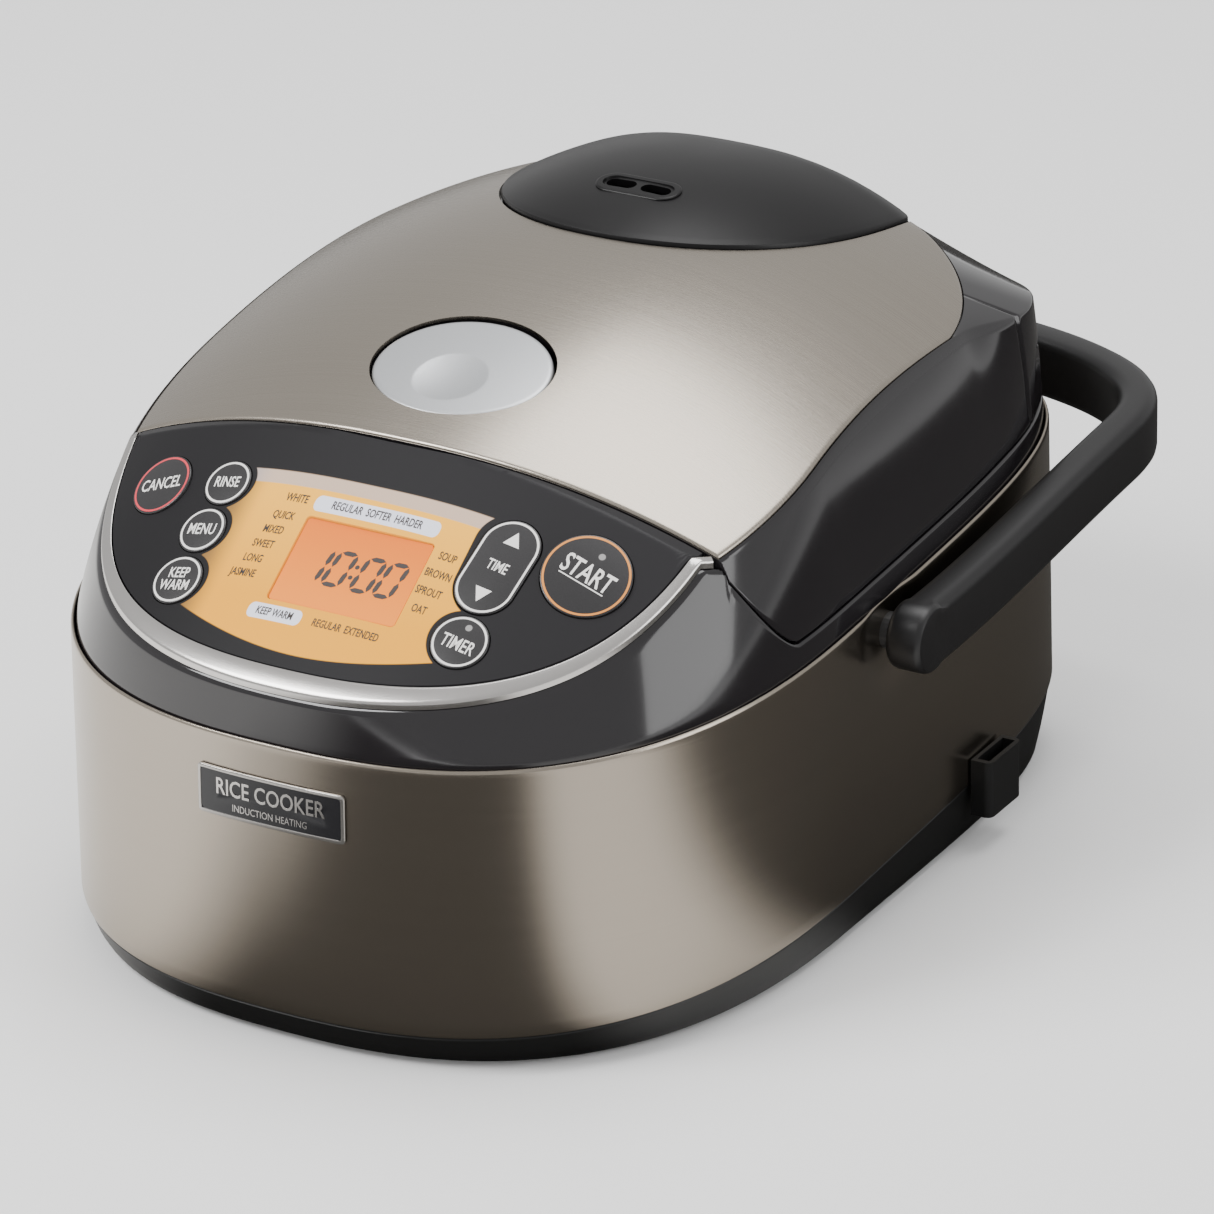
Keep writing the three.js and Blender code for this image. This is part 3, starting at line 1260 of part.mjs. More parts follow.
// Pivot bosses: a flange inside the shell and a stub that the arm turns on.
for (const [name, side] of [['handle_pivot_left', -1], ['handle_pivot_right', 1]]) {
  const stubEnd = side * (handlePlane - TOUCH_GAP);
  const shellInside = side * (HALF_WIDTH - SHELL_THICKNESS - 3);
  const flangeInside = shellInside - side * 3;
  const stub = crossPin(
    PIVOT_RADIUS, Math.min(stubEnd, shellInside), Math.max(stubEnd, shellInside), HANDLE_PIVOT_Y, HANDLE_PIVOT_Z,
  );
  const flange = crossPin(
    PIVOT_RADIUS + 6, Math.min(flangeInside, shellInside), Math.max(flangeInside, shellInside) + 0.01,
    HANDLE_PIVOT_Y, HANDLE_PIVOT_Z - 8,
  );
  const web = box(
    Math.min(flangeInside, shellInside), Math.max(flangeInside, shellInside) + 0.01,
    HANDLE_PIVOT_Y - PIVOT_RADIUS, HANDLE_PIVOT_Y + PIVOT_RADIUS, HANDLE_PIVOT_Z - 12, HANDLE_PIVOT_Z,
  );
  addPart(name, join(stub, web, flange), ...MATT_BLACK);
}

// ---------------------------------------------------------------- badge, socket, outlet

const BADGE_HALF_WIDTH = 27;
const BADGE_Z = 81.5;
const BADGE_HALF_HEIGHT = 8.2;

function shellFrontY(x, z, inset) {
  const share = clamp01((shellTop(-FRONT_DEPTH) - z) / (shellTop(-FRONT_DEPTH) - shellBottom(-FRONT_DEPTH)));
  const depth = FRONT_DEPTH + SHELL_FOOT_SPREAD * share - inset;
  return -depth * (1 - (Math.abs(x) / (HALF_WIDTH - inset)) ** FRONT_SQUARENESS) ** (1 / FRONT_SQUARENESS);
}

addPart('front_badge', patchPlate((u, v, side) => {
  const x = mix(-BADGE_HALF_WIDTH, BADGE_HALF_WIDTH, u);
  const z = BADGE_Z + mix(-BADGE_HALF_HEIGHT, BADGE_HALF_HEIGHT, v);
  return point(x, shellFrontY(x, z, side ? -1.3 : -TOUCH_GAP), z);
}, 12, 2), 0x17171a, 0.35, 0.2);

const SOCKET_Y = 87;
const SOCKET_HALF_WIDTH = 11;
const SOCKET_DEPTH = 7.5;
const socketX = HALF_WIDTH + TOUCH_GAP;
const socketLow = 11;
const socketHigh = 31;
const socketPlan = new THREE.Shape();
socketPlan.moveTo(socketX, SOCKET_Y - SOCKET_HALF_WIDTH);
socketPlan.lineTo(socketX, SOCKET_Y + SOCKET_HALF_WIDTH);
socketPlan.lineTo(socketX + SOCKET_DEPTH - 3, SOCKET_Y + SOCKET_HALF_WIDTH);
socketPlan.quadraticCurveTo(
  socketX + SOCKET_DEPTH, SOCKET_Y + SOCKET_HALF_WIDTH, socketX + SOCKET_DEPTH, SOCKET_Y + SOCKET_HALF_WIDTH - 3,
);
socketPlan.lineTo(socketX + SOCKET_DEPTH, SOCKET_Y - SOCKET_HALF_WIDTH + 3);
socketPlan.quadraticCurveTo(
  socketX + SOCKET_DEPTH, SOCKET_Y - SOCKET_HALF_WIDTH, socketX + SOCKET_DEPTH - 3, SOCKET_Y - SOCKET_HALF_WIDTH,
);
socketPlan.closePath();
const socketBlock = extruded(socketPlan, socketHigh - socketLow).translate(0, 0, socketLow);
const socketPocket = box(
  socketX + 1.4, socketX + SOCKET_DEPTH - 1.6, SOCKET_Y - SOCKET_HALF_WIDTH + 2, SOCKET_Y + SOCKET_HALF_WIDTH - 2,
  socketLow + 2, socketHigh + 5,
);
addPart('spatula_socket', cut(socketBlock, socketPocket), ...MATT_BLACK);

const OUTLET_X = -60;
const OUTLET_Z = 48;
const outletFace = REAR_DEPTH + SHELL_FOOT_SPREAD + TOUCH_GAP;
addPart('cord_outlet', cut(
  box(OUTLET_X - 16, OUTLET_X + 16, outletFace, outletFace + 3, OUTLET_Z - 11, OUTLET_Z + 11),
  box(OUTLET_X - 7, OUTLET_X + 7, outletFace + 1, outletFace + 5, OUTLET_Z - 4, OUTLET_Z + 4),
), ...MATT_BLACK);

// ---------------------------------------------------------------- electronics in the base

const BOARD_Z = 9;
addPart('power_board', box(-18, 74, -112, -56, BOARD_Z, BOARD_Z + 1.6), 0x2d5b34, 0.6, 0);

const SINK = { x: 45, y: -88, width: 52, depth: 40, height: 24, fins: 7 };
const finPitch = SINK.width / SINK.fins;
const sinkLow = BOARD_Z + 1.6 + TOUCH_GAP;
const sinkProfile = new THREE.Shape();
sinkProfile.moveTo(-SINK.width / 2, 0);
sinkProfile.lineTo(SINK.width / 2, 0);
for (let k = SINK.fins - 1; k >= 0; k -= 1) {
  const x = -SINK.width / 2 + k * finPitch;
  sinkProfile.lineTo(x + finPitch, SINK.height);
  sinkProfile.lineTo(x + finPitch - 2, SINK.height);
  sinkProfile.lineTo(x + finPitch - 2, 4);
  if (k > 0) sinkProfile.lineTo(x, 4);
}
sinkProfile.lineTo(-SINK.width / 2, 4);
sinkProfile.closePath();
addPart(
  'heat_sink',
  extruded(sinkProfile, SINK.depth).rotateX(Math.PI / 2).translate(SINK.x, SINK.y + SINK.depth / 2, sinkLow),
  0xb0b2b5, 0.4, 1,
);

const fanLow = 8;
const FAN_HEIGHT = 14;
addPart('fan_housing', cut(
  box(FAN_X - FAN_SIZE / 2, FAN_X + FAN_SIZE / 2, FAN_Y - FAN_SIZE / 2, FAN_Y + FAN_SIZE / 2, fanLow, fanLow + FAN_HEIGHT),
  disc(FAN_RADIUS, FAN_X, FAN_Y, 0, 60, 32),
), ...MATT_BLACK);

const BLADES = 7;
const rotorShape = new THREE.Shape();
for (let k = 0; k < BLADES; k += 1) {
  const start = (2 * Math.PI * k) / BLADES;
  const spots = [[8, 0], [FAN_RADIUS - 1.5, 0.12], [FAN_RADIUS - 1.5, 0.5], [8, 0.38]];
  for (const [radius, turn] of spots) {
    const x = radius * Math.cos(start + turn);
    const y = radius * Math.sin(start + turn);
    if (k === 0 && turn === 0) rotorShape.moveTo(x, y);
    else rotorShape.lineTo(x, y);
  }
}
rotorShape.closePath();
addPart('fan_rotor', extruded(rotorShape, FAN_HEIGHT - 4).translate(FAN_X, FAN_Y, fanLow + 2), 0x2b2b2e, 0.6, 0);

// ---------------------------------------------------------------- place the assembly

const frontmost = -(FRONT_DEPTH + SHELL_FOOT_SPREAD);
const rearmost = handleBack + HANDLE_THICKNESS / 2;
parts.position.set(0, -(frontmost + rearmost) / 2, FOOT_DROP);
parts.updateMatrixWorld(true);

export default parts;
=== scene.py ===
# %% [markdown]
# # A pressure rice cooker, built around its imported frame
# The cooker already exists as a set of exact solids, one for each part, with hinges and
# slides between them. This lesson puts a finished look on those solids. Parts that are
# seen closely are made again with many more faces, and the rest only get a material.
# The first cell loads the frame and notes how large it is.

# %% Load the frame
import json
import math

import bmesh
import bpy
import numpy as np
from mathutils import Matrix, Vector

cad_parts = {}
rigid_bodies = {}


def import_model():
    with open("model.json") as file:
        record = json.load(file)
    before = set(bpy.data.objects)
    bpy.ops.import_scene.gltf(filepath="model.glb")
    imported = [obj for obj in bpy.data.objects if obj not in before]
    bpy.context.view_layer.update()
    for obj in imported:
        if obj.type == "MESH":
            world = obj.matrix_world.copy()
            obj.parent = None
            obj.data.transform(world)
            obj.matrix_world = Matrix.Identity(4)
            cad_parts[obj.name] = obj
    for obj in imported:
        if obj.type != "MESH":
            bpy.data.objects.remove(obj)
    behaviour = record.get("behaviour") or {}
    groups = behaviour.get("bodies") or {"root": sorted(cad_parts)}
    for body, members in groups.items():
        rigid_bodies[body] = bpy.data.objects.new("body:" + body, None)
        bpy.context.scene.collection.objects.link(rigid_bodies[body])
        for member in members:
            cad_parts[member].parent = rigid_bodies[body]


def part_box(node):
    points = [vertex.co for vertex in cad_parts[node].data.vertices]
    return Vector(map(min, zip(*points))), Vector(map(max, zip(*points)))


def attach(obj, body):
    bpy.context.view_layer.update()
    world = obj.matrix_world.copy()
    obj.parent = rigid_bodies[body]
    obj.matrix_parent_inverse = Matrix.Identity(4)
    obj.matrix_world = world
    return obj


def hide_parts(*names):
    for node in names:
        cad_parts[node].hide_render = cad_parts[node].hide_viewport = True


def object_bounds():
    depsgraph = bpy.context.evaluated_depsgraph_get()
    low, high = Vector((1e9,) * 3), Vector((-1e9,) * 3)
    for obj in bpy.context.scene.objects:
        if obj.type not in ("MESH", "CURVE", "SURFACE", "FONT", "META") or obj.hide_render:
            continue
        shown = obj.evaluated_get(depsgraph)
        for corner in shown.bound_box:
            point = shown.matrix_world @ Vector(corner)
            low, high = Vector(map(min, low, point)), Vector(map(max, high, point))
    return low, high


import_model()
cad_box = [list(corner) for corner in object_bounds()]
MM = 0.001

# %% [markdown]
# The body is easiest to describe about its own axis, in millimetres, with z = 0 under the
# bottom tray. The frame's origin is at the middle of the footprint instead. The shell and
# the tray show how far apart the two origins are, so the shift is read from them.

# %% Body axes and the shift to the frame
FRONT_DEPTH = 144.7
REAR_DEPTH = 185.5
FOOT_SPREAD = 3.4
HALF_WIDTH = 128.0
NOSE_POWER = 2.51
TAIL_POWER = 5.2
shell_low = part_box("outer_shell")[0]
tray_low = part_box("base_tray")[0]
SHIFT = np.array([0.0, shell_low[1] / MM + FRONT_DEPTH + FOOT_SPREAD, tray_low[2] / MM])


def place(points):
    """Body millimetres to frame metres."""
    return (np.asarray(points, float) + SHIFT) * MM


print("shift in mm:", np.round(SHIFT, 3))

# %% [markdown]
# The outline seen from above is a superellipse: a curve between an ellipse and a rectangle.
# Its power is low at the front, which makes a round nose, and high at the back, which makes
# a squarer tail. The wall above the steel shell leans in as it rises, and the lid is a dome
# whose height depends on x and y. Writing these as functions means that every part that
# touches the same surface agrees with its neighbours.

# %% Surfaces of the body
DOME_RISE = 0.2144
DOME_FALL = 0.001377
PANEL_SLOPE = 0.694
SLOPE_LENGTH = 1 / math.cos(math.atan(PANEL_SLOPE))


def smooth(t):
    t = np.clip(t, 0.0, 1.0)
    return t * t * (3 - 2 * t)


def shell_top(y):
    return 109.8 + 0.067 * y + 0.00005 * y * y


def shell_bottom(y):
    return 17.6 + 0.051 * y


def outline_value(x, y, inset, front_power, spread=0.0):
    front = y < 0
    depth = np.where(front, FRONT_DEPTH, REAR_DEPTH) + spread - inset
    power = np.where(front, front_power, TAIL_POWER)
    return (np.abs(x) / (HALF_WIDTH - inset)) ** power + (np.abs(y) / depth) ** power


def wall_value(x, y, z, extra):
    rise = np.maximum(0.0, z - shell_top(y))
    lean = (0.12 * rise + 0.002 * rise * rise) * (1 - 0.65 * smooth((y - 100) / 50))
    return outline_value(x, y, 1.5 + lean + extra, NOSE_POWER - 0.009 * rise)


def lid_front(x):
    return -63.5 + 8.35 * (x / 100) ** 2


def dome(x, y):
    middle = 191.6 + DOME_RISE * y - DOME_FALL * y * y
    shoulder = 0.012 * np.maximum(0.0, y - 145) ** 2
    return middle - 21.6 * (np.abs(x) / 100) ** 2.26 - shoulder


def panel(x, y):
    slope = 172.0 + PANEL_SLOPE * (y + 64) - 20.2 * (np.abs(x) / 100) ** 2.64
    return np.minimum(slope, dome(x, lid_front(x)))


def side_seam(y):
    climb = np.clip((-30.0 - y) / 25.0, 0, 1) ** 1.6
    return shell_top(y) + 8 + 33 * climb


def seam(y):
    side = side_seam(y)
    rear = 148 + 4 * smooth((y - 160) / 20)
    return side + (rear - side) * smooth((y - 135) / 13)


def band_top(x, y):
    return np.where(y < lid_front(x), panel(x, y) - 2.4, side_seam(y) - 0.3)


print("lid height in the middle:", round(float(dome(0.0, 100.0)), 1), "mm")

# %% [markdown]
# A loop round the body is found by sending out rays from a point inside it and halving the
# distance until each ray stops on the wall. The rays are spread evenly, with extra ones
# where the seam climbs and where a narrow groove crosses the lid.

# %% Loops found with rays
CENTRE_Y = 40.0
HALVINGS = 44


def reach(angles, inside, centre_y=CENTRE_Y):
    near = np.zeros_like(angles)
    far = np.full_like(angles, 400.0)
    for _ in range(HALVINGS):
        middle = (near + far) / 2
        hit = inside(middle * np.cos(angles), centre_y + middle * np.sin(angles))
        near = np.where(hit, middle, near)
        far = np.where(hit, far, middle)
    return near * np.cos(angles), centre_y + near * np.sin(angles)


def with_height(x, y, height):
    z = height(x, y) if callable(height) else np.full_like(x, height)
    return np.stack([x, y, z], axis=1)


def wall_loop(angles, height, extra=0.0):
    def inside(x, y):
        z = height(x, y) if callable(height) else height
        return wall_value(x, y, z, extra) < 1
    return with_height(*reach(angles, inside), height)


def shell_loop(angles, height, inset=0.0, spread=0.0):
    x, y = reach(angles, lambda px, py: outline_value(px, py, inset, NOSE_POWER, spread) < 1)
    return with_height(x, y, height)


def full_turn(count):
    return np.linspace(0, 2 * math.pi, count + 1)[:-1]


even = full_turn(360)
probe = wall_loop(even, 150.0)


def more_rays(low_y, high_y, count):
    chosen = even[(probe[:, 1] > low_y) & (probe[:, 1] < high_y)]
    step = 2 * math.pi / 360
    return np.concatenate([chosen + step * k / count for k in range(1, count)])


rays = np.sort(np.concatenate([even, more_rays(-66, -26, 3), more_rays(124, 141, 8)]))
print("rays round the body:", len(rays))

# %% [markdown]
# Most parts here are skins: rings of points joined into a surface. A hoop closes on itself
# like a tyre, and a skin between two poles closes like an orange. Both are watertight. The
# faces are turned to point outwards, edges sharper than about thirty degrees stay crisp, and
# the rest are shaded smooth.

# %% Turning rings into meshes
def link_new(name, data):
    made = bpy.data.objects.new(name, data)
    bpy.context.scene.collection.objects.link(made)
    return made


def shade(mesh, sharp=32.0):
    mesh.polygons.foreach_set("use_smooth", [True] * len(mesh.polygons))
    mesh.set_sharp_from_angle(angle=math.radians(sharp))
    mesh.update()


def add_mesh(name, points, faces, sharp=32.0, in_frame=False):
    mesh = bpy.data.meshes.new(name)
    coords = np.asarray(points, float) if in_frame else place(points)
    mesh.from_pydata([tuple(p) for p in coords], [], faces)
    tidy = bmesh.new()
    tidy.from_mesh(mesh)
    bmesh.ops.remove_doubles(tidy, verts=tidy.verts, dist=1e-6)
    bmesh.ops.dissolve_degenerate(tidy, edges=tidy.edges, dist=1e-7)
    bmesh.ops.recalc_face_normals(tidy, faces=tidy.faces)
    if tidy.calc_volume(signed=True) < 0:
        bmesh.ops.reverse_faces(tidy, faces=tidy.faces)
    tidy.to_mesh(mesh)
    tidy.free()
    shade(mesh, sharp)
    return link_new(name, mesh)


def ring_faces(first, second, count):
    return [
        (first + k, first + (k + 1) % count, second + (k + 1) % count, second + k)
        for k in range(count)
    ]


def hoop(name, rings, sharp=32.0):
    count = len(rings[0])
    faces = []
    for k in range(len(rings)):
        faces += ring_faces(k * count, ((k + 1) % len(rings)) * count, count)
    return add_mesh(name, np.concatenate(rings), faces, sharp)


def skin(name, start, rings, end, sharp=32.0):
    count = len(rings[0])
    points = np.concatenate([[start], *rings, [end]])
    last = len(points) - 1
    faces = [(0, 1 + k, 1 + (k + 1) % count) for k in range(count)]
    for k in range(len(rings) - 1):
        faces += ring_faces(1 + k * count, 1 + (k + 1) * count, count)
    top = 1 + (len(rings) - 1) * count
    faces += [(last, top + (k + 1) % count, top + k) for k in range(count)]
    return add_mesh(name, points, faces, sharp)


def grid_plate(name, place_point, across, along, sharp=32.0):
    """A plate over a four-sided patch; place_point(u, v, side) with side 0 under, 1 over."""
    def spot(i, j):
        return i * (along + 1) + j

    u, v = np.meshgrid(np.linspace(0, 1, across + 1), np.linspace(0, 1, along + 1), indexing="ij")
    under = np.stack(place_point(u, v, 0), -1).reshape(-1, 3)
    over = np.stack(place_point(u, v, 1), -1).reshape(-1, 3)
    half = len(under)
    faces = []
    for i in range(across):
        for j in range(along):
            cell = (spot(i, j), spot(i + 1, j), spot(i + 1, j + 1), spot(i, j + 1))
            faces.append(tuple(half + c for c in cell))
            faces.append(cell[::-1])
    rim = [spot(i, 0) for i in range(across)] + [spot(across, j) for j in range(along)]
    rim += [spot(i, along) for i in range(across, 0, -1)] + [spot(0, j) for j in range(along, 0, -1)]
    for k, a in enumerate(rim):
        b = rim[(k + 1) % len(rim)]
        faces.append((a, b, half + b, half + a))
    return add_mesh(name, np.concatenate([under, over]), faces, sharp)


def plain_mesh(piece):
    """The mesh that a piece has once its modifiers are applied."""
    graph = bpy.context.evaluated_depsgraph_get()
    return bpy.data.meshes.new_from_object(piece.evaluated_get(graph))


def combine(piece, tools, operation, sharp):
    for tool in tools:
        step = piece.modifiers.new("combine", "BOOLEAN")
        step.operation = operation
        step.solver = "EXACT"
        step.object = tool
    mesh = plain_mesh(piece)
    piece.modifiers.clear()
    piece.data = mesh
    shade(mesh, sharp)
    for tool in tools:
        bpy.data.objects.remove(tool)
    return piece


def cut_with(piece, *tools, sharp=32.0):
    """Takes tools away from a piece, for good."""
    return combine(piece, tools, "DIFFERENCE", sharp)


def fuse(piece, *others, sharp=32.0):
    """Joins other pieces onto a piece, for good."""
    return combine(piece, others, "UNION", sharp)


def coat(piece, material):
    """Gives a piece one material in place of any it had."""
    piece.data.materials.clear()
    piece.data.materials.append(material)


def remake(piece, body, slot, *replaced):
    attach(piece, body)
    if replaced:
        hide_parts(*replaced)
    return piece


print("mesh helpers ready")

# %% [markdown]
# The shell is a band of thin brushed steel. Its top edge is rolled over into a narrow lip
# that catches the light, and it spreads slightly towards its foot. A shallow dish is pressed
# in around each handle pivot, so the wall moves inwards near that point.

# %% Outer shell
PIVOT = (23.0, 99.4)
DISH_DEPTH = 1.4
DISH_RADIUS = 22.0


def dish(points):
    reach_mm = np.hypot(points[:, 1] - PIVOT[0], points[:, 2] - PIVOT[1])
    push = DISH_DEPTH * (1 - smooth((reach_mm - 9) / (DISH_RADIUS - 9)))
    side = np.sign(points[:, 0]) * (np.abs(points[:, 0]) > 90)
    return points - np.stack([side * push, 0 * push, 0 * push], axis=1)


def shell_ring(share, inset):
    def height(x, y):
        return shell_top(y) + (shell_bottom(y) - shell_top(y)) * share
    return dish(shell_loop(rays, height, inset, FOOT_SPREAD * share))


lip = [(0.011, 1.2), (0.002, 1.0), (0.0, 0.75), (0.001, 0.4), (0.005, 0.12), (0.012, 0.0)]
wall_shares = [0.03 + 0.955 * k / 26 for k in range(27)]
shell_rings = [shell_ring(s, i) for s, i in lip]
shell_rings += [shell_ring(s, 0.0) for s in wall_shares]
shell_rings += [shell_ring(0.996, 0.2), shell_ring(1.0, 0.6), shell_ring(0.995, 1.0)]
shell_rings += [shell_ring(s, 1.2) for s in (0.9, 0.5, 0.15)]
shell = hoop("brushed_shell", shell_rings)
remake(shell, "cooker", "brushed_shell", "outer_shell")
print("shell:", len(shell.data.polygons), "faces")

# %% [markdown]
# The bottom tray is a black moulding that tucks under the shell. Seen from below it has a
# row of slots that let cooling air reach the fan. The slots repeat, so a Geometry Nodes tree
# makes them: a line of points, with one box on each point. The tree's sizes are its inputs,
# and the result becomes a plain mesh that is cut from the tray.

# %% A helper that runs a Geometry Nodes tree once
def run_tree(name, tree, inputs, start_mesh=None):
    """Applies a tree to a new object with named input values and returns the plain result."""
    host = link_new(name, start_mesh or bpy.data.meshes.new(name))
    step = host.modifiers.new("tree", "NODES")
    step.node_group = tree
    for item in tree.interface.items_tree:
        if item.item_type == "SOCKET" and item.in_out == "INPUT" and item.name in inputs:
            step[item.identifier] = inputs[item.name]
    bpy.context.evaluated_depsgraph_get().update()
    plain = plain_mesh(host)
    bpy.data.objects.remove(host)
    return link_new(name, plain)


class Tree:
    """A Geometry Nodes tree under construction."""

    def __init__(self, name, inputs):
        self.group = bpy.data.node_groups.new(name, "GeometryNodeTree")
        face = self.group.interface
        face.new_socket("Geometry", in_out="INPUT", socket_type="NodeSocketGeometry")
        face.new_socket("Geometry", in_out="OUTPUT", socket_type="NodeSocketGeometry")
        for label, kind in inputs.items():
            face.new_socket(label, in_out="INPUT", socket_type="NodeSocket" + kind)
        self.into = self.group.nodes.new("NodeGroupInput")
        self.out = self.group.nodes.new("NodeGroupOutput")

    def node(self, kind, settings=None, **values):
        made = self.group.nodes.new(kind)
        for key, value in (settings or {}).items():
            setattr(made, key, value)
        for key, value in values.items():
            socket = self.socket(made, key)
            if isinstance(value, bpy.types.NodeSocket):
                self.group.links.new(value, socket)
            else:
                socket.default_value = value
        return made

    @staticmethod
    def socket(made, key):
        label = key.replace("_", " ").lower()
        return next(s for s in made.inputs if s.enabled and s.name.lower() == label)

    def given(self, label):
        return self.into.outputs[label]

    def finish(self, geometry, material):
        real = self.node("GeometryNodeRealizeInstances", Geometry=geometry)
        painted = self.node("GeometryNodeSetMaterial", Geometry=real.outputs[0])
        painted.inputs["Material"].default_value = material
        self.group.links.new(painted.outputs[0], self.out.inputs[0])
        return self.group


plain_material = bpy.data.materials.new("unfinished")


def slot_tree():
    inputs = {"Count": "Int", "Pitch": "Vector", "Start": "Vector", "Size": "Vector"}
    tree = Tree("row of slots", inputs)
    line = tree.node("GeometryNodeMeshLine", {"mode": "OFFSET"}, Count=tree.given("Count"))
    tree.group.links.new(tree.given("Start"), line.inputs["Start Location"])
    tree.group.links.new(tree.given("Pitch"), line.inputs["Offset"])
    block = tree.node("GeometryNodeMeshCube", Size=tree.given("Size"))
    spread = tree.node(
        "GeometryNodeInstanceOnPoints", Points=line.outputs[0], Instance=block.outputs[0]
    )
    return tree.finish(spread.outputs[0], plain_material)


SLOT_TREE = slot_tree()


def row_of_blocks(name, count, start, pitch, size):
    values = {
        "Count": count,
        "Start": tuple(place([start])[0]),
        "Pitch": tuple(np.array(pitch) * MM),
        "Size": tuple(np.array(size) * MM),
    }
    return run_tree(name, SLOT_TREE, values)


print("tree:", SLOT_TREE.name)

# %% Bottom tray
def tray_ring(inset, height):
    return shell_loop(even, height, inset, FOOT_SPREAD)


def tray_at(share):
    return lambda x, y: shell_bottom(y) * share


tray_profile = [(20, 0.0), (8, 0.0), (6.2, 0.1), (5.0, 0.5), (4.4, 1.3)]
tray_rings = [tray_ring(i, z) for i, z in tray_profile]
tray_rings += [tray_ring(3.0, tray_at(0.35)), tray_ring(2.0, tray_at(0.6)), tray_ring(1.1, tray_at(0.85))]
tray_rings += [tray_ring(0.8, lambda x, y: shell_bottom(y) - 0.8)]
tray_rings += [tray_ring(1.1, lambda x, y: shell_bottom(y) - 0.4)]
tray_rings += [tray_ring(1.5, lambda x, y: shell_bottom(y) - 0.3)]
tray_rings += [tray_ring(1.5, lambda x, y: shell_bottom(y) + 6)]
tray_rings += [tray_ring(4.0, lambda x, y: shell_bottom(y) + 6), tray_ring(7.8, 2.5)]
tray = skin("bottom_tray", (0, CENTRE_Y, 0), tray_rings, (0, CENTRE_Y, 2.5))
slots = row_of_blocks("intake slots", 5, (-52, -108, 1), (0, 8, 0), (36, 4, 8))
cut_with(tray, slots)
remake(tray, "cooker", "matte_black", "base_tray")
print("tray:", len(tray.data.polygons), "faces")

# %% [markdown]
# The gloss band fills the space between the shell and the lid. Its top edge follows the lid
# seam along the sides and the edge of the control panel at the front, so it is one ring
# whose height changes as it goes round.

# %% Gloss band
def band_bottom(x, y):
    return np.minimum(shell_top(y) - 4, 108.0)


def band_loop(share, extra, drop=0.0):
    low = wall_loop(rays, band_bottom, extra)
    high = wall_loop(rays, lambda x, y: band_top(x, y) - drop, extra)
    if share in (0, 1):
        return high if share else low
    z = low[:, 2] + (high[:, 2] - low[:, 2]) * share
    x, y = reach(rays, lambda px, py: wall_value(px, py, z, extra) < 1)
    return np.stack([x, y, z], axis=1)


band_rings = [band_loop(k / 12, 0.0) for k in range(12)]
band_rings += [band_loop(1, 0.0, 1.0), band_loop(1, 0.12, 0.45), band_loop(1, 0.4, 0.12)]
band_rings += [band_loop(1, 0.9, 0.0), band_loop(1, 3.0, 0.0), band_loop(0.5, 3.0), band_loop(0, 3.0)]
band = hoop("gloss_band", band_rings)
remake(band, "cooker", "gloss_black", "upper_band")
print("band:", len(band.data.polygons), "faces")

# %% [markdown]
# The control panel is a sheet of printed film over a sloping surface. Round openings leave
# room for the keys, which press in, and a rounded rectangle shows the display. The outline
# is a patch, and each opening is cut by a short prism that stands square to the surface.

# %% Frames that stand on the panel
KEYS = {
    "cancel_key": dict(x=-78.5, y=-82.0, radius=11.2),
    "rinse_key": dict(x=-52.6, y=-83.0, radius=8.4),
    "menu_key": dict(x=-52.9, y=-98.0, radius=8.4),
    "keep_warm_key": dict(x=-52.6, y=-113.7, radius=9.0),
    "timer_key": dict(x=51.2, y=-113.4, radius=9.4),
    "start_key": dict(x=78.0, y=-81.5, radius=14.5),
}
ROCKER = dict(x=51.4, y=-90.3, radius=10.0, reach=7.5)
KEY_GAP = 0.3
KEY_PROUD = 0.7
KEY_SKIRT = 3.0


def panel_frame(x, y, surface=panel):
    """Matrix in frame metres: z along the surface normal, x to the right, y up the slope."""
    h = 0.5
    slope_x = float(surface(x + h, y) - surface(x - h, y)) / (2 * h)
    slope_y = float(surface(x, y + h) - surface(x, y - h)) / (2 * h)
    normal = Vector((-slope_x, -slope_y, 1)).normalized()
    across = Vector((1, 0, slope_x)).normalized()
    up = normal.cross(across)
    matrix = Matrix((across, up, normal)).transposed().to_4x4()
    matrix.translation = Vector(place([(x, y, float(surface(x, y)))])[0])
    return matrix


def pill_outline(radius, half_reach, count=96):
    turn = np.linspace(0, 2 * math.pi, count, endpoint=False)
    lift = np.where(np.sin(turn) >= 0, half_reach, -half_reach)
    return np.stack([radius * np.cos(turn), radius * np.sin(turn) + lift], axis=1)


def stacked(name, outline, levels, matrix, crown=0.0, uv=True):
    """A lid-like solid: outlines scaled inwards at levels of (inset mm, height mm)."""
    rings = []
    size = np.abs(outline).max(axis=0)
    for inset, height in levels:
        flat = outline * (1 - inset / size)
        rings.append(np.column_stack([flat, np.full(len(flat), height)]))
    top = levels[-1][1] + crown
    points = np.concatenate([[(0, 0, levels[0][1])], *rings, [(0, 0, top)]])
    count = len(outline)
    last = len(points) - 1
    faces = [(0, 1 + (k + 1) % count, 1 + k) for k in range(count)]
    for k in range(len(rings) - 1):
        faces += ring_faces(1 + k * count, 1 + (k + 1) * count, count)
    start = 1 + (len(rings) - 1) * count
    faces += [(last, start + k, start + (k + 1) % count) for k in range(count)]
    world = [matrix @ Vector(p * MM) for p in points]
    piece = add_mesh(name, [tuple(w) for w in world], faces, in_frame=True)
    if uv:
        local_uv(piece, matrix)
    return piece


def local_uv(piece, matrix):
    """A UV map that holds millimetres across and up the surface, for printed rings."""
    back = matrix.inverted()
    layer = piece.data.uv_layers.new(name="print")
    for loop in piece.data.loops:
        spot = back @ piece.data.vertices[loop.vertex_index].co
        layer.data[loop.index].uv = (spot.x / MM, spot.y / MM)


print("keys:", len(KEYS) + 1)

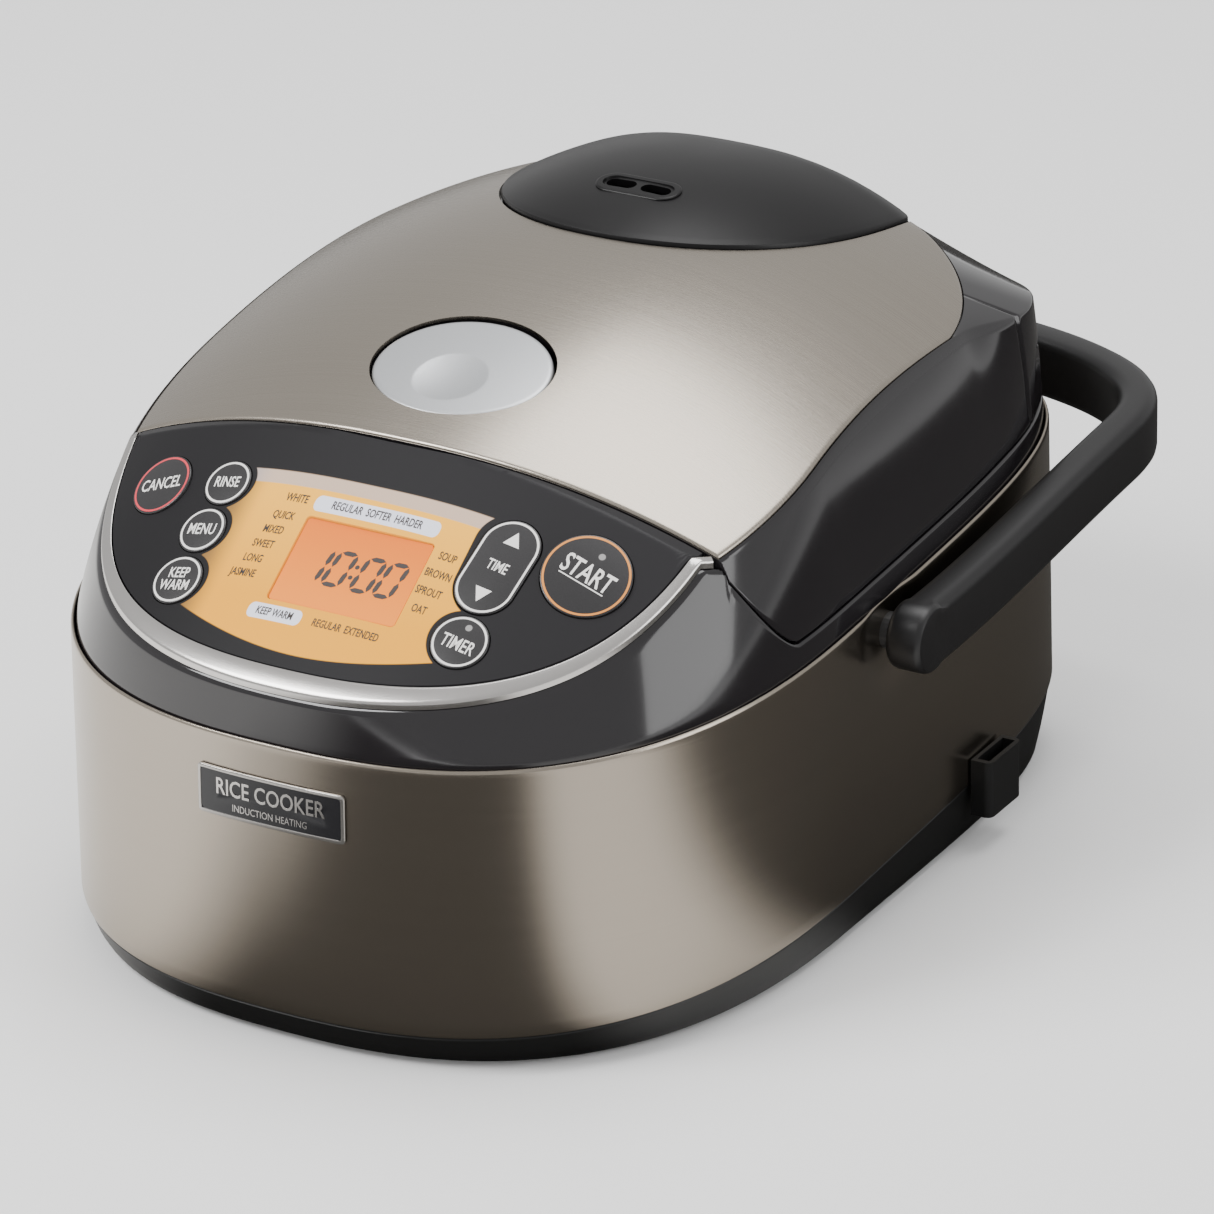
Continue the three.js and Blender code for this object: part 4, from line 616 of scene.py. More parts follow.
# %% Panel film
LCD = dict(x=5.2, top=-90.0, bottom=-116.0, half=23.5)
TRIM_MIDDLE = 5.2
TRIM_TIP = 2.0
TRIM_REACH = 112.0
FILM_HALF = 104.0
FILM_THICKNESS = 2.2
FILM_GAP = 0.25
circle = pill_outline(1.0, 0.0)


def trim_width(x):
    return TRIM_MIDDLE + (TRIM_TIP - TRIM_MIDDLE) * smooth(np.abs(x) / TRIM_REACH)


def panel_low(x, margin):
    outside = np.full_like(x, -160.0)
    inside = lid_front(x) - 1
    for _ in range(HALVINGS):
        y = (outside + inside) / 2
        fits = wall_value(x, y, panel(x, y), trim_width(x) + margin) < 1
        inside = np.where(fits, y, inside)
        outside = np.where(fits, outside, y)
    return inside


def film_point(u, v, side):
    x = FILM_HALF * (0.35 * np.sin((u - 0.5) * math.pi) + 0.65 * (2 * u - 1))
    low = panel_low(x, FILM_GAP)
    high = lid_front(x) - 0.6
    y = low + (high - low) * v
    return x, y, panel(x, y) - (0.0 if side else FILM_THICKNESS)


film = grid_plate("printed_film", film_point, 150, 60)
tools = []
for label, key in KEYS.items():
    hole = circle * (key["radius"] + KEY_GAP)
    where = panel_frame(key["x"], key["y"])
    tools.append(stacked(label + " hole", hole, [(0, -6), (0, 6)], where, uv=False))
where = panel_frame(ROCKER["x"], ROCKER["y"])
hole = pill_outline(ROCKER["radius"] + 0.4, ROCKER["reach"])
tools.append(stacked("rocker hole", hole, [(0, -6), (0, 6)], where, uv=False))
lcd_y = (LCD["top"] + LCD["bottom"]) / 2
LCD_FRAME = panel_frame(LCD["x"], lcd_y)
LCD_HALF_UP = (LCD["top"] - LCD["bottom"]) / 2 * SLOPE_LENGTH


def rounded_rectangle(half_x, half_y, radius, corner=8):
    points = []
    for sx, sy, start in ((1, 1, 0), (-1, 1, 1), (-1, -1, 2), (1, -1, 3)):
        for k in range(corner + 1):
            turn = (start + k / corner) * math.pi / 2
            points.append((sx * (half_x - radius) + radius * math.cos(turn),
                           sy * (half_y - radius) + radius * math.sin(turn)))
    return np.array(points)


lcd_hole = rounded_rectangle(LCD["half"], LCD_HALF_UP, 1.5)
tools.append(stacked("display hole", lcd_hole, [(0, -6), (0, 6)], LCD_FRAME, uv=False))
cut_with(film, *tools)
remake(film, "cooker", "panel_film", "control_panel", "menu_window")
print("film:", len(film.data.polygons), "faces, openings:", len(tools))

# %% [markdown]
# A finish in Blender is a small network of nodes. Writing it as arithmetic keeps it short,
# so one class wraps a node's output and lets plain operators add the Math nodes. Colours go
# through Mix nodes instead, because a Math node would turn them grey. One method makes any
# other node from its type, its settings and its inputs.

# %% A socket that can be used in sums
class Signal:
    def __init__(self, tree, socket):
        self.tree = tree
        self.socket = socket

    def math(self, operation, *others, **settings):
        made = self.tree.nodes.new("ShaderNodeMath")
        made.operation = operation
        for key, value in settings.items():
            setattr(made, key, value)
        for slot, value in zip(made.inputs, (self, *others)):
            feed(self.tree, slot, value)
        return Signal(self.tree, made.outputs[0])

    def turned(self, operation, other):
        made = self.tree.nodes.new("ShaderNodeMath")
        made.operation = operation
        feed(self.tree, made.inputs[0], other)
        feed(self.tree, made.inputs[1], self)
        return Signal(self.tree, made.outputs[0])

    def __add__(self, other): return self.math("ADD", other)
    def __radd__(self, other): return self.turned("ADD", other)
    def __sub__(self, other): return self.math("SUBTRACT", other)
    def __rsub__(self, other): return self.turned("SUBTRACT", other)
    def __mul__(self, other): return self.math("MULTIPLY", other)
    def __rmul__(self, other): return self.turned("MULTIPLY", other)
    def __pow__(self, other): return self.math("POWER", other)
    def __gt__(self, other): return self.math("GREATER_THAN", other)
    def __abs__(self): return self.math("ABSOLUTE")
    def __neg__(self): return self * -1
    def high(self, other): return self.math("MAXIMUM", other)
    def clamped(self): return self.math("ADD", 0.0, use_clamp=True)

    def edge(self, place, soft):
        """A smooth step from 0 to 1 about one place."""
        return self.step(place - soft, place + soft)

    def step(self, start, end):
        """0 before start, 1 after end, smooth between."""
        made = self.tree.nodes.new("ShaderNodeMapRange")
        made.interpolation_type = "SMOOTHSTEP"
        for slot, value in zip(made.inputs, (self, start, end, 0.0, 1.0)):
            feed(self.tree, slot, value)
        return Signal(self.tree, made.outputs[0])


def feed(tree, slot, value):
    if isinstance(value, Signal):
        tree.links.new(value.socket, slot)
    elif value is not None:
        if slot.type == "RGBA" and len(value) == 3:
            value = (*value, 1.0)
        slot.default_value = value


def colour(text):
    """A colour such as '8a8074', turned to the linear numbers that a shader uses."""
    parts = [int(text[k:k + 2], 16) / 255 for k in (0, 2, 4)]
    return tuple(p / 12.92 if p <= 0.04045 else ((p + 0.055) / 1.055) ** 2.4 for p in parts)


class Finish:
    """One material under construction, with its shader ready."""

    def __init__(self, name, **constants):
        self.material = bpy.data.materials.new(name)
        self.material.use_nodes = True
        self.tree = self.material.node_tree
        self.shader = self.tree.nodes["Principled BSDF"]
        for label, value in constants.items():
            feed(self.tree, self.input(label), value)

    def input(self, label):
        known = label.replace("_", " ").title().replace("Ior", "IOR")
        return self.shader.inputs[known]

    def node(self, kind, settings=None, values=None, output=0):
        made = self.tree.nodes.new(kind)
        for key, value in (settings or {}).items():
            setattr(made, key, value)
        for key, value in (values or {}).items():
            feed(self.tree, made.inputs[key], value)
        return Signal(self.tree, made.outputs[output])

    def spot(self):
        """Object coordinates in metres, as one vector."""
        return self.node("ShaderNodeTexCoord", output="Object")

    def axes(self, vector=None):
        parts = self.tree.nodes.new("ShaderNodeSeparateXYZ")
        feed(self.tree, parts.inputs[0], vector or self.spot())
        return [Signal(self.tree, s) for s in parts.outputs]

    def printed(self):
        """Millimetres across and up a printed face, from its own UV map."""
        x, y, _ = self.axes(self.node("ShaderNodeUVMap", {"uv_map": "print"}))
        return x, y

    def scaled(self, sizes):
        return self.node("ShaderNodeMapping", {}, {"Vector": self.spot(), "Scale": sizes})

    def noise(self, sizes, detail=2.0, roughness=0.5):
        return self.node(
            "ShaderNodeTexNoise", {},
            {"Vector": self.scaled(sizes), "Scale": 1.0, "Detail": detail, "Roughness": roughness},
            output="Fac",
        )

    def mix(self, factor, first, second):
        made = self.tree.nodes.new("ShaderNodeMix")
        made.data_type = "RGBA"
        for slot, value in zip((0, 6, 7), (factor, first, second)):
            feed(self.tree, made.inputs[slot], value)
        return Signal(self.tree, made.outputs[2])

    def bump(self, height, distance, strength=1.0):
        return self.node(
            "ShaderNodeBump", {}, {"Height": height, "Distance": distance, "Strength": strength}
        )

    def set(self, **values):
        for label, value in values.items():
            feed(self.tree, self.input(label), value)
        return self.material


print("finish helpers ready")

# %% [markdown]
# Brushed steel is a bright metal with very fine scratches that all run one way, here round
# the body. Noise that is squeezed in height and stretched along the wall gives those
# streaks: they change the roughness and the colour a little, and tilt the surface slightly.
# The shell and the lid plate share the recipe, with the streaks turned to suit each.

# %% Brushed metals
def brushed(name, base, rough, sizes, contrast=0.10, tilt=0.00002, **constants):
    made = Finish(name, metallic=1.0, **constants)
    fine = made.noise(sizes, 3.0, 0.6)
    broad = made.noise(tuple(s / 6 for s in sizes), 2.0)
    streak = (fine - 0.5) * 2 * contrast + (broad - 0.5) * contrast
    shade_share = (0.5 + streak * 1.6).clamped()
    dark = tuple(c * 0.80 for c in base)
    pale = tuple(min(1.0, c * 1.16) for c in base)
    return made.set(
        base_color=made.mix(shade_share, dark, pale),
        roughness=(rough + streak * 0.35).clamped(),
        normal=made.bump(fine, tilt, 0.6),
    )


shell_steel = brushed("shell steel", colour("a39a8e"), 0.24, (6, 6, 5200))
plate_steel = brushed("lid plate steel", colour("a69e93"), 0.27, (6, 5200, 60))
pan_steel = brushed("bright steel", colour("c9c8c6"), 0.24, (900, 900, 60), 0.05)
dark_steel = brushed("dark steel", colour("5b5a58"), 0.38, (900, 900, 60), 0.08)

# %% [markdown]
# The black parts are plastic mouldings. The band and the lid sides are polished, so they
# mirror the room with a faint waviness. The vent cap and the handle are satin, and the tray
# and the inner parts are matt with a fine moulded grain. Noise at about half a millimetre
# gives the grain, and broader noise keeps the polish from looking perfect.

# %% Black mouldings
FLECK = 0.08


def moulded(name, base, rough, grain=0.0, wave=0.0, coat_weight=0.0, **constants):
    made = Finish(name, **constants)
    made.set(coat_weight=coat_weight, coat_roughness=0.06)
    fine = made.noise((2600, 2600, 2600), 2.0)
    broad = made.noise((22, 22, 22), 2.0)
    height = fine * grain + broad * wave
    values = dict(
        base_color=made.mix(
            (0.5 + (fine - 0.5) * 1.2 + (broad - 0.5) * 0.6).clamped(),
            tuple(c * (1 - FLECK) for c in base),
            tuple(c * (1 + FLECK) for c in base),
        ),
        roughness=(rough + (broad - 0.5) * 0.10 + (fine - 0.5) * 0.06).clamped(),
    )
    if grain or wave:
        values["normal"] = made.bump(height, 1.0, 1.0)
    return made.set(**values)


gloss_black = moulded("gloss black", colour("161416"), 0.10, wave=0.00012, coat_weight=0.3)
satin_black = moulded("satin black", colour("0c0b0c"), 0.36, grain=0.000012, specular_ior_level=0.24)
handle_black = moulded("handle black", colour("100f10"), 0.40, grain=0.00002, specular_ior_level=0.45)
tray_black = moulded("tray black", colour("0d0d0d"), 0.45, grain=0.00002)
inner_black = moulded("inner black", colour("232324"), 0.5, grain=0.00002)
inner_grey = moulded("inner grey", colour("8b8b8a"), 0.45, grain=0.00002)
rubber = moulded("rubber", colour("242424"), 0.75, grain=0.00004)
silicone = moulded("silicone seal", colour("b8b6b0"), 0.5, grain=0.00002)
print("finishes:", len(bpy.data.materials))

# %% [markdown]
# The trim is a satin silver strip laid along the lower edge of the control panel. It is
# widest at the front and narrows to a blunt end under each corner of the lid. It is made
# as a bar: a rounded section is carried along the edge, and each section is found with a
# ray, so the strip keeps to the wall.

# %% Trim strip
silver = brushed("satin silver", colour("c9c6c3"), 0.22, (1400, 1400, 60), 0.04, tilt=0.000006)
TRIM_END = math.acos(99 / math.hypot(99, TRIM_REACH))
trim_angles = -math.pi / 2 + np.linspace(-TRIM_END, TRIM_END, 221)


def on_panel(angles, extra):
    def inside(x, y):
        return wall_value(x, y, panel(x, y), extra) < 1
    x, y = reach(angles, inside)
    return np.stack([x, y, panel(x, y)], axis=1)


def trim_line(share, lift):
    outer = on_panel(trim_angles, 0.0)
    inner = on_panel(trim_angles, trim_width(outer[:, 0]))
    line = outer + (inner - outer) * share
    return line + [0, 0, lift]


def bar(name, lines, sharp=32.0):
    """A bar from the lines that run along it, closed at both ends."""
    sections = len(lines[0])
    around = len(lines)
    points = np.concatenate(lines)
    faces = []
    for a in range(around):
        b = (a + 1) % around
        for k in range(sections - 1):
            first, second = a * sections + k, b * sections + k
            faces.append((first, first + 1, second + 1, second))
    faces.append(tuple(a * sections for a in range(around)))
    faces.append(tuple(a * sections + sections - 1 for a in range(around))[::-1])
    return add_mesh(name, points, faces, sharp)


trim_profile = [(0.0, -2.0), (0.0, -0.5), (0.03, 0.02), (0.09, 0.24), (0.2, 0.36), (0.5, 0.4)]
trim_profile += [(0.8, 0.36), (0.92, 0.22), (0.98, 0.02), (1.0, -0.4), (1.0, -2.0)]
trim = bar("trim_strip", [trim_line(s, z) for s, z in trim_profile], 50.0)
remake(trim, "cooker", "chrome_trim", "chrome_trim")
for piece, material in ((trim, silver), (shell, shell_steel), (tray, tray_black), (band, gloss_black)):
    coat(piece, material)
print("trim:", len(trim.data.polygons), "faces")

# %% [markdown]
# The printed film is one sheet, but it has three looks. Most of it is dark with a fine
# matt grain, and a painted sheen makes it lighter towards the right and the back. In the
# middle is a clear amber window over a printed menu, which shows a pale strip along its top
# and two pale labels with round ends. Its amber is painted brighter towards the back, painted
# shade darkens its left end, and a painted glow makes it shine. The window's edges are
# products of smooth steps on the object's own x and y, so the print stays with the piece.

# %% Printed film
def in_box(x, y, x0, x1, y0, y1, soft=0.2 * MM):
    """A mask that is 1 inside a rectangle, from smooth steps in metres."""
    return x.edge(x0, soft) * (1 - x.edge(x1, soft)) * y.edge(y0, soft) * (1 - y.edge(y1, soft))


PALE_LABELS = [(4.8, -85.8, 23.0, 2.4), (-12.6, -119.7, 9.8, 2.3)]


def round_label(x, y, middle_x, middle_y, half_x, half_y):
    """A mask that is 1 inside a bar with round ends, from a distance in metres."""
    radius = half_y * 0.85
    out_x = (abs(x - middle_x) - (half_x - radius)).high(0.0)
    out_y = (abs(y - middle_y) - (half_y - radius)).high(0.0)
    far = (out_x * out_x + out_y * out_y).math("SQRT")
    return 1 - far.edge(radius, 0.12 * MM)


WINDOW_LEFT = -48.5
WINDOW_RIGHT = 47.0
WINDOW_TOP = -77.75
WINDOW_LOW = -130.5
WINDOW_BOW = 4.2
KEY_MARGIN = 1.4


def film_finish():
    made = Finish("printed film")
    x, y, _ = made.axes()
    y = y - float(SHIFT[1]) * MM
    grain = made.noise((3000, 3000, 3000), 2.0)
    broad = made.noise((14, 14, 14), 2.0)
    # Painted sheen: the dark film is painted lighter towards the right and towards the back of the panel.
    painted_sheen = (x * 3.2 + 0.38 + (y + 0.1) * 5.0 + (broad - 0.5) * 0.3).clamped()
    dark = made.mix(painted_sheen, colour("0f0e10"), colour("232224"))
    dark = made.mix((grain * 0.3).clamped(), dark, colour("1b1a1c"))
    low = WINDOW_LOW * MM + x * x * WINDOW_BOW
    window = x.edge(WINDOW_LEFT * MM, 0.5 * MM) * (1 - x.edge(WINDOW_RIGHT * MM, 0.5 * MM))
    window = window * y.step(low, low + 0.5 * MM) * (1 - y.edge(WINDOW_TOP * MM, 0.25 * MM))
    places = [(key["x"], key["y"], key["radius"], 0.0) for key in KEYS.values()]
    places.append((ROCKER["x"], ROCKER["y"], ROCKER["radius"], ROCKER["reach"] * 0.82))
    for key_x, key_y, radius, half_reach in places:
        if abs(key_x) < 60:
            up = (abs(y - key_y * MM) - half_reach * MM).high(0.0) * SLOPE_LENGTH
            far = ((x - key_x * MM) ** 2.0 + up * up).math("SQRT")
            margin = radius + KEY_MARGIN
            window = window * far.step(margin * MM, (margin + 0.4) * MM)
    # Painted light: the printed amber is painted brighter towards the back of the window.
    glow = made.mix((y * 20 + 2.3).clamped(), colour("e09a22"), colour("f3b440"))
    # Painted shade: the left end of the window is painted darker.
    edge = (1 - x.step(-0.0480, -0.0360)) * 0.8
    glow = made.mix(edge, glow, colour("4a4238"))
    strip = in_box(x, y, -0.048, 0.046, -0.0818, -0.0776)
    glow = made.mix(strip * 0.75, glow, colour("a29da0"))
    for middle_x, middle_y, half_x, half_y in PALE_LABELS:
        label_mask = round_label(x, y, middle_x * MM, middle_y * MM, half_x * MM, half_y * MM)
        glow = made.mix(label_mask, glow, colour("d3d5e0"))
    lit = made.mix(window, dark, glow)
    made.set(
        base_color=lit,
        roughness=(0.42 + (grain - 0.5) * 0.15 - window * 0.22).clamped(),
        normal=made.bump(grain * (1 - window), 0.00002, 1.0),
        # Painted glow: the printed window emits light though it is no lamp.
        emission_color=made.mix(window, (0, 0, 0), glow),
    )
    return made.set(emission_strength=0.35, specular_ior_level=0.2)


coat(film, film_finish())
shade(film.data)
print("film finish ready")

# %% [markdown]
# Each key is a low button with a rounded edge and a slightly crowned face. A thin ring is
# printed near its edge. The key carries a UV map in millimetres about its own middle, so the
# ring is simply the places where the distance from the middle is right. Some keys also have
# a small indicator lamp, which is a pale dot in the same print.

# %% Key finish
WHITE_INK = colour("e9e7e4")
RING_INSET = 0.95
RING_WIDTH = 0.62


def key_finish(name, radius, ring_colour, half_reach=0.0, lamp=None):
    made = Finish(name)
    x, y = made.printed()
    along = (abs(y) - half_reach).high(0.0)
    far = (x * x + along * along).math("SQRT")
    inner = radius - RING_INSET - RING_WIDTH / 2
    outer = radius - RING_INSET + RING_WIDTH / 2
    line = far.step(inner - 0.12, inner + 0.05) * (1 - far.step(outer - 0.05, outer + 0.12))
    grain = made.noise((2600, 2600, 2600), 2.0)
    # The face colour mixes the moulded grain with a painted sheen that makes each key lighter towards its
    # top edge.
    base = made.mix((grain * 0.7 + y * 0.012).clamped(), colour("171617"), colour("2b292b"))
    face = made.mix(line, base, ring_colour)
    if lamp:
        dot = ((x - lamp[0]) * (x - lamp[0]) + (y - lamp[1]) * (y - lamp[1])).math("SQRT")
        face = made.mix(1 - dot.step(0.95, 1.25), face, colour("8f8d8c"))
    made.set(
        base_color=face,
        roughness=(0.33 + (grain - 0.5) * 0.12).clamped(),
        normal=made.bump(grain, 0.00001, 1.0),
    )
    return made.set(coat_weight=0.15)


RING_COLOURS = {"cancel_key": colour("cf3a45"), "start_key": colour("d5893c")}
LAMPS = {"timer_key": (0.3, 5.4), "start_key": (0.4, 8.0)}
CROWN = 0.12
KEY_LEVELS = [(0.0, -KEY_SKIRT), (0.0, 0.25), (0.1, 0.42), (0.3, 0.53), (0.7, KEY_PROUD - CROWN)]
key_frames = {}
for label, key in KEYS.items():
    key_frames[label] = panel_frame(key["x"], key["y"])
    outline = circle * key["radius"]
    piece = stacked(label.replace("key", "cap"), outline, KEY_LEVELS, key_frames[label], CROWN)
    ring_colour = RING_COLOURS.get(label, WHITE_INK)
    coat(piece, key_finish(label + " print", key["radius"], ring_colour, 0, LAMPS.get(label)))
    remake(piece, label + "_body", "key_film", label)
key_frames["time_rocker"] = panel_frame(ROCKER["x"], ROCKER["y"])
outline = pill_outline(ROCKER["radius"], ROCKER["reach"])
rocker = stacked("time_cap", outline, KEY_LEVELS, key_frames["time_rocker"], CROWN)
coat(rocker, key_finish("time print", ROCKER["radius"], WHITE_INK, ROCKER["reach"]))
remake(rocker, "rocker", "key_film", "time_rocker")
print("key caps:", len(key_frames))

# %% [markdown]
# The words on the keys say only what each key does. Blender's text makes a flat curve, so
# each word is given a hair's thickness, turned into a mesh and then moved point by point
# onto its key or onto the film. Ink is modelled a few hundredths of a millimetre proud, so
# that it doesn't fight with the surface for the same place.

# %% Inks and words
def ink(name, base):
    made = Finish(name)
    grain = made.noise((1500, 1500, 1500), 2.0)
    tint = made.mix(grain, tuple(c * 0.93 for c in base), base)
    made.set(base_color=tint, roughness=(0.42 + grain * 0.1).clamped())
    return made.material


INK_DEPTH = 0.03
white_ink = ink("white ink", WHITE_INK)
dark_ink = ink("dark ink", colour("2b2320"))


def word_mesh(words, size, narrow=0.66, weight=0.0):
    """A word as a mesh in millimetres about its own middle."""
    curve = bpy.data.curves.new("word", "FONT")
    curve.body = words
    curve.size = size
    curve.space_line = 0.86
    curve.align_x = "CENTER"
    curve.align_y = "CENTER"
    curve.resolution_u = 3
    curve.extrude = INK_DEPTH
    curve.offset = weight
    host = link_new("word", curve)
    mesh = plain_mesh(host)
    bpy.data.objects.remove(host)
    spots = np.array([v.co for v in mesh.vertices])
    spots[:, 0] *= narrow
    return mesh, spots


def inked(name, mesh, world, material):
    """A printed piece whose points are moved to places in frame metres."""
    mesh.vertices.foreach_set("co", world.ravel())
    tidy = bmesh.new()
    tidy.from_mesh(mesh)
    bmesh.ops.remove_doubles(tidy, verts=tidy.verts, dist=1e-7)
    bmesh.ops.recalc_face_normals(tidy, faces=tidy.faces)
    tidy.to_mesh(mesh)
    tidy.free()
    mesh.update()
    piece = link_new(name, mesh)
    coat(piece, material)
    return piece


def print_piece(name, mesh, spots, matrix, body, slot, material, lift, drape=True):
    """Puts flat points on a surface: across and up in the frame, or draped on the panel."""
    world = np.array([matrix @ (Vector(p) * MM) for p in spots])
    if drape:
        body_spots = world / MM - SHIFT
        height = panel(body_spots[:, 0], body_spots[:, 1]) + lift + spots[:, 2]
        world = place(np.stack([body_spots[:, 0], body_spots[:, 1], height], axis=1))
    else:
        normal = np.array(matrix.col[2][:3])
        world = world + normal * lift * MM
    return remake(inked(name, mesh, world, material), body, slot)


def key_word(name, words, size, key, body, at=(0.0, 0.0), weight=0.06):
    mesh, spots = word_mesh(words, size, weight=weight)
    spots[:, :2] += at
    return print_piece(name, mesh, spots, key_frames[key], body, "key_film", white_ink,
                       KEY_PROUD + 0.02, drape=False)


key_word("word_cancel", "CANCEL", 6.4, "cancel_key", "cancel_key_body")
key_word("word_rinse", "RINSE", 5.6, "rinse_key", "rinse_key_body")
key_word("word_menu", "MENU", 5.8, "menu_key", "menu_key_body")
key_word("word_warm", "KEEP\nWARM", 5.4, "keep_warm_key", "keep_warm_key_body")
key_word("word_timer", "TIMER", 6.4, "timer_key", "timer_key_body", (0, -1.2))
key_word("word_start", "START", 9.4, "start_key", "start_key_body", (0, 0.6), 0.12)
key_word("word_time", "TIME", 5.2, "time_rocker", "rocker")
print("words on keys:", 7)

# %% [markdown]
# Arrows and the underline are plain shapes, so one helper turns a flat outline into a thin
# closed mesh. The names of the settings are draped over the window, and two of them lie on
# the pale labels that the film's finish already holds.

# %% Flat printed shapes
def flat_mesh(outline):
    count = len(outline)
    spots = [(x, y, side * INK_DEPTH) for side in (-1, 1) for x, y in outline]
    faces = [tuple(range(count))[::-1], tuple(range(count, 2 * count))]
    faces += [(k, (k + 1) % count, count + (k + 1) % count, count + k) for k in range(count)]
    mesh = bpy.data.meshes.new("print")
    mesh.from_pydata(spots, [], faces)
    return mesh, np.array(spots)


for side in (1, -1):
    mesh, spots = flat_mesh([(-2.9, 8.3 * side), (2.9, 8.3 * side), (0, 13.4 * side)])
    print_piece("arrow_up" if side > 0 else "arrow_down", mesh, spots, key_frames["time_rocker"],
                "rocker", "key_film", white_ink, KEY_PROUD - 0.06, drape=False)
mesh, spots = flat_mesh([(-8.2, -3.4), (8.2, -3.4), (8.2, -3.0), (-8.2, -3.0)])
print_piece("start_line", mesh, spots, key_frames["start_key"], "start_key_body", "key_film",
            white_ink, KEY_PROUD + 0.01, drape=False)


WINDOW_Y = -100.0
WINDOW_FRAME = panel_frame(0.0, WINDOW_Y)


def on_window(x, y):
    """Places across and up the window from body x and y."""
    return x, (y - WINDOW_Y) * SLOPE_LENGTH


def window_word(name, words, x, y, size):
    mesh, spots = word_mesh(words, size, 0.62, 0.05)
    spots[:, :2] += on_window(x, y)
    return print_piece(name, mesh, spots, WINDOW_FRAME, "cooker", "window_film", dark_ink, 0.09)


window_word("word_white", "WHITE", -24.8, -85.6, 4.2)
window_word("word_textures", "REGULAR  SOFTER  HARDER", 4.8, -85.8, 4.2)
for k, words in enumerate(("QUICK", "MIXED", "SWEET", "LONG", "JASMINE")):
    window_word("word_left_%d" % k, words, -26.6 - 1.0 * k, -91.2 - 4.6 * k, 4.0)
for k, words in enumerate(("SOUP", "BROWN", "SPROUT", "OAT")):
    window_word("word_right_%d" % k, words, 34.6 - 0.3 * k, -92.5 - 5.4 * k, 4.0)
window_word("word_hold", "KEEP WARM", -12.6, -119.7, 3.9)
window_word("word_hold_kinds", "REGULAR  EXTENDED", 13.5, -119.9, 3.9)
print("window print ready")

# %% [markdown]
# The display shows a time in slanted bars. All the bars are alike, so a Geometry Nodes tree
# puts one flattened six-sided prism on each point that it is given. It runs once for the
# level bars and once for the upright bars, and the slant is added at the end.

# %% Display
def segment_tree():
    tree = Tree("display bars", {"Size": "Vector", "Turn": "Float"})
    prism = tree.node("GeometryNodeMeshCylinder", Vertices=6, Radius=0.5, Depth=1.0)
    turn = tree.node("ShaderNodeCombineXYZ", Z=tree.given("Turn"))
    spread = tree.node(
        "GeometryNodeInstanceOnPoints", Points=tree.given("Geometry"), Instance=prism.outputs[0],
        Scale=tree.given("Size"), Rotation=turn.outputs[0],
    )
    return tree.finish(spread.outputs[0], plain_material)


SEGMENT_TREE = segment_tree()
BAR = (5.5, 1.9, 0.12)
SLANT = 0.17
DIGIT_HALF = (3.0, 6.0)
LEVEL = {"top": (0, 1), "middle": (0, 0), "bottom": (0, -1)}
UPRIGHT = {"upper_left": (-1, 0.5), "upper_right": (1, 0.5),
           "lower_left": (-1, -0.5), "lower_right": (1, -0.5)}
SHOWN = {"1": ("upper_right", "lower_right"), "0": ("top", "bottom", *UPRIGHT)}


def bars(name, table, turn):
    spots = []
    for digit, x in zip("1000", (-12.6, -4.2, 6.2, 14.6)):
        for part in SHOWN[digit]:
            if part in table:
                sx, sy = table[part]
                spots.append((x + sx * DIGIT_HALF[0], sy * DIGIT_HALF[1], 0))
    points = bpy.data.meshes.new(name)
    points.from_pydata(spots, [], [])
    return run_tree(name, SEGMENT_TREE, {"Size": BAR, "Turn": turn}, points)


level = bars("level", LEVEL, 0.0)
upright = bars("upright", UPRIGHT, math.pi / 2)
GLASS_TOP = -0.9
for piece, name in ((level, "display_bars_level"), (upright, "display_bars_upright")):
    spots = np.array([v.co for v in piece.data.vertices])
    spots[:, 0] += spots[:, 1] * SLANT
    mesh = piece.data
    bpy.data.objects.remove(piece)
    print_piece(name, mesh, spots, LCD_FRAME, "cooker", "display", dark_ink, GLASS_TOP + 0.02, drape=False)
for k, y in enumerate((2.0, -2.0)):
    outline = circle[::8] * 0.8 + (1.0 + y * SLANT, y)
    mesh, spots = flat_mesh(outline)
    print_piece("display_dot_%d" % k, mesh, spots, LCD_FRAME, "cooker", "display", dark_ink,
                GLASS_TOP + 0.02, drape=False)


def display_finish():
    made = Finish("display glass", roughness=0.16)
    x, y = made.printed()
    grid = (x * 9.0).math("SINE") * (y * 9.0).math("SINE") * 0.03
    glow = made.mix((y * 0.035 + 0.5 + grid).clamped(), colour("e5801f"), colour("d96c12"))
    return made.set(base_color=glow, emission_color=glow, emission_strength=0.45)


glass = stacked("display_glass", rounded_rectangle(LCD["half"] - 0.4, LCD_HALF_UP - 0.4, 1.2),
                [(0, -3.0), (0, GLASS_TOP - 0.1), (0.1, GLASS_TOP)], LCD_FRAME)
coat(glass, display_finish())
remake(glass, "cooker", "display", "lcd_module")
print("display ready")

# %% [markdown]
# The lid has two layers. Below is a glossy black moulding whose sides stand on the seam.
# Over it lies a plate of brushed steel, bent from thin sheet, with a soft rolled edge all
# round. Both follow the same dome, so each is a set of rings that shrink towards the middle
# of the lid. The openings for the button and the vent cap are cut afterwards.

# %% Lid outline helpers
LID_FRONT_GAP = 0.4
PLATE_RIM = 1.0
PLATE_THICKNESS = 1.2
COVER_STEP = 1.5
PLATE_BEND_Y = 70.0
PLATE_REAR = 95.0
PLATE_HALF = 114.5
PLATE_POWER = 2.42
PLATE_CORNER = (119.5, -56.0)


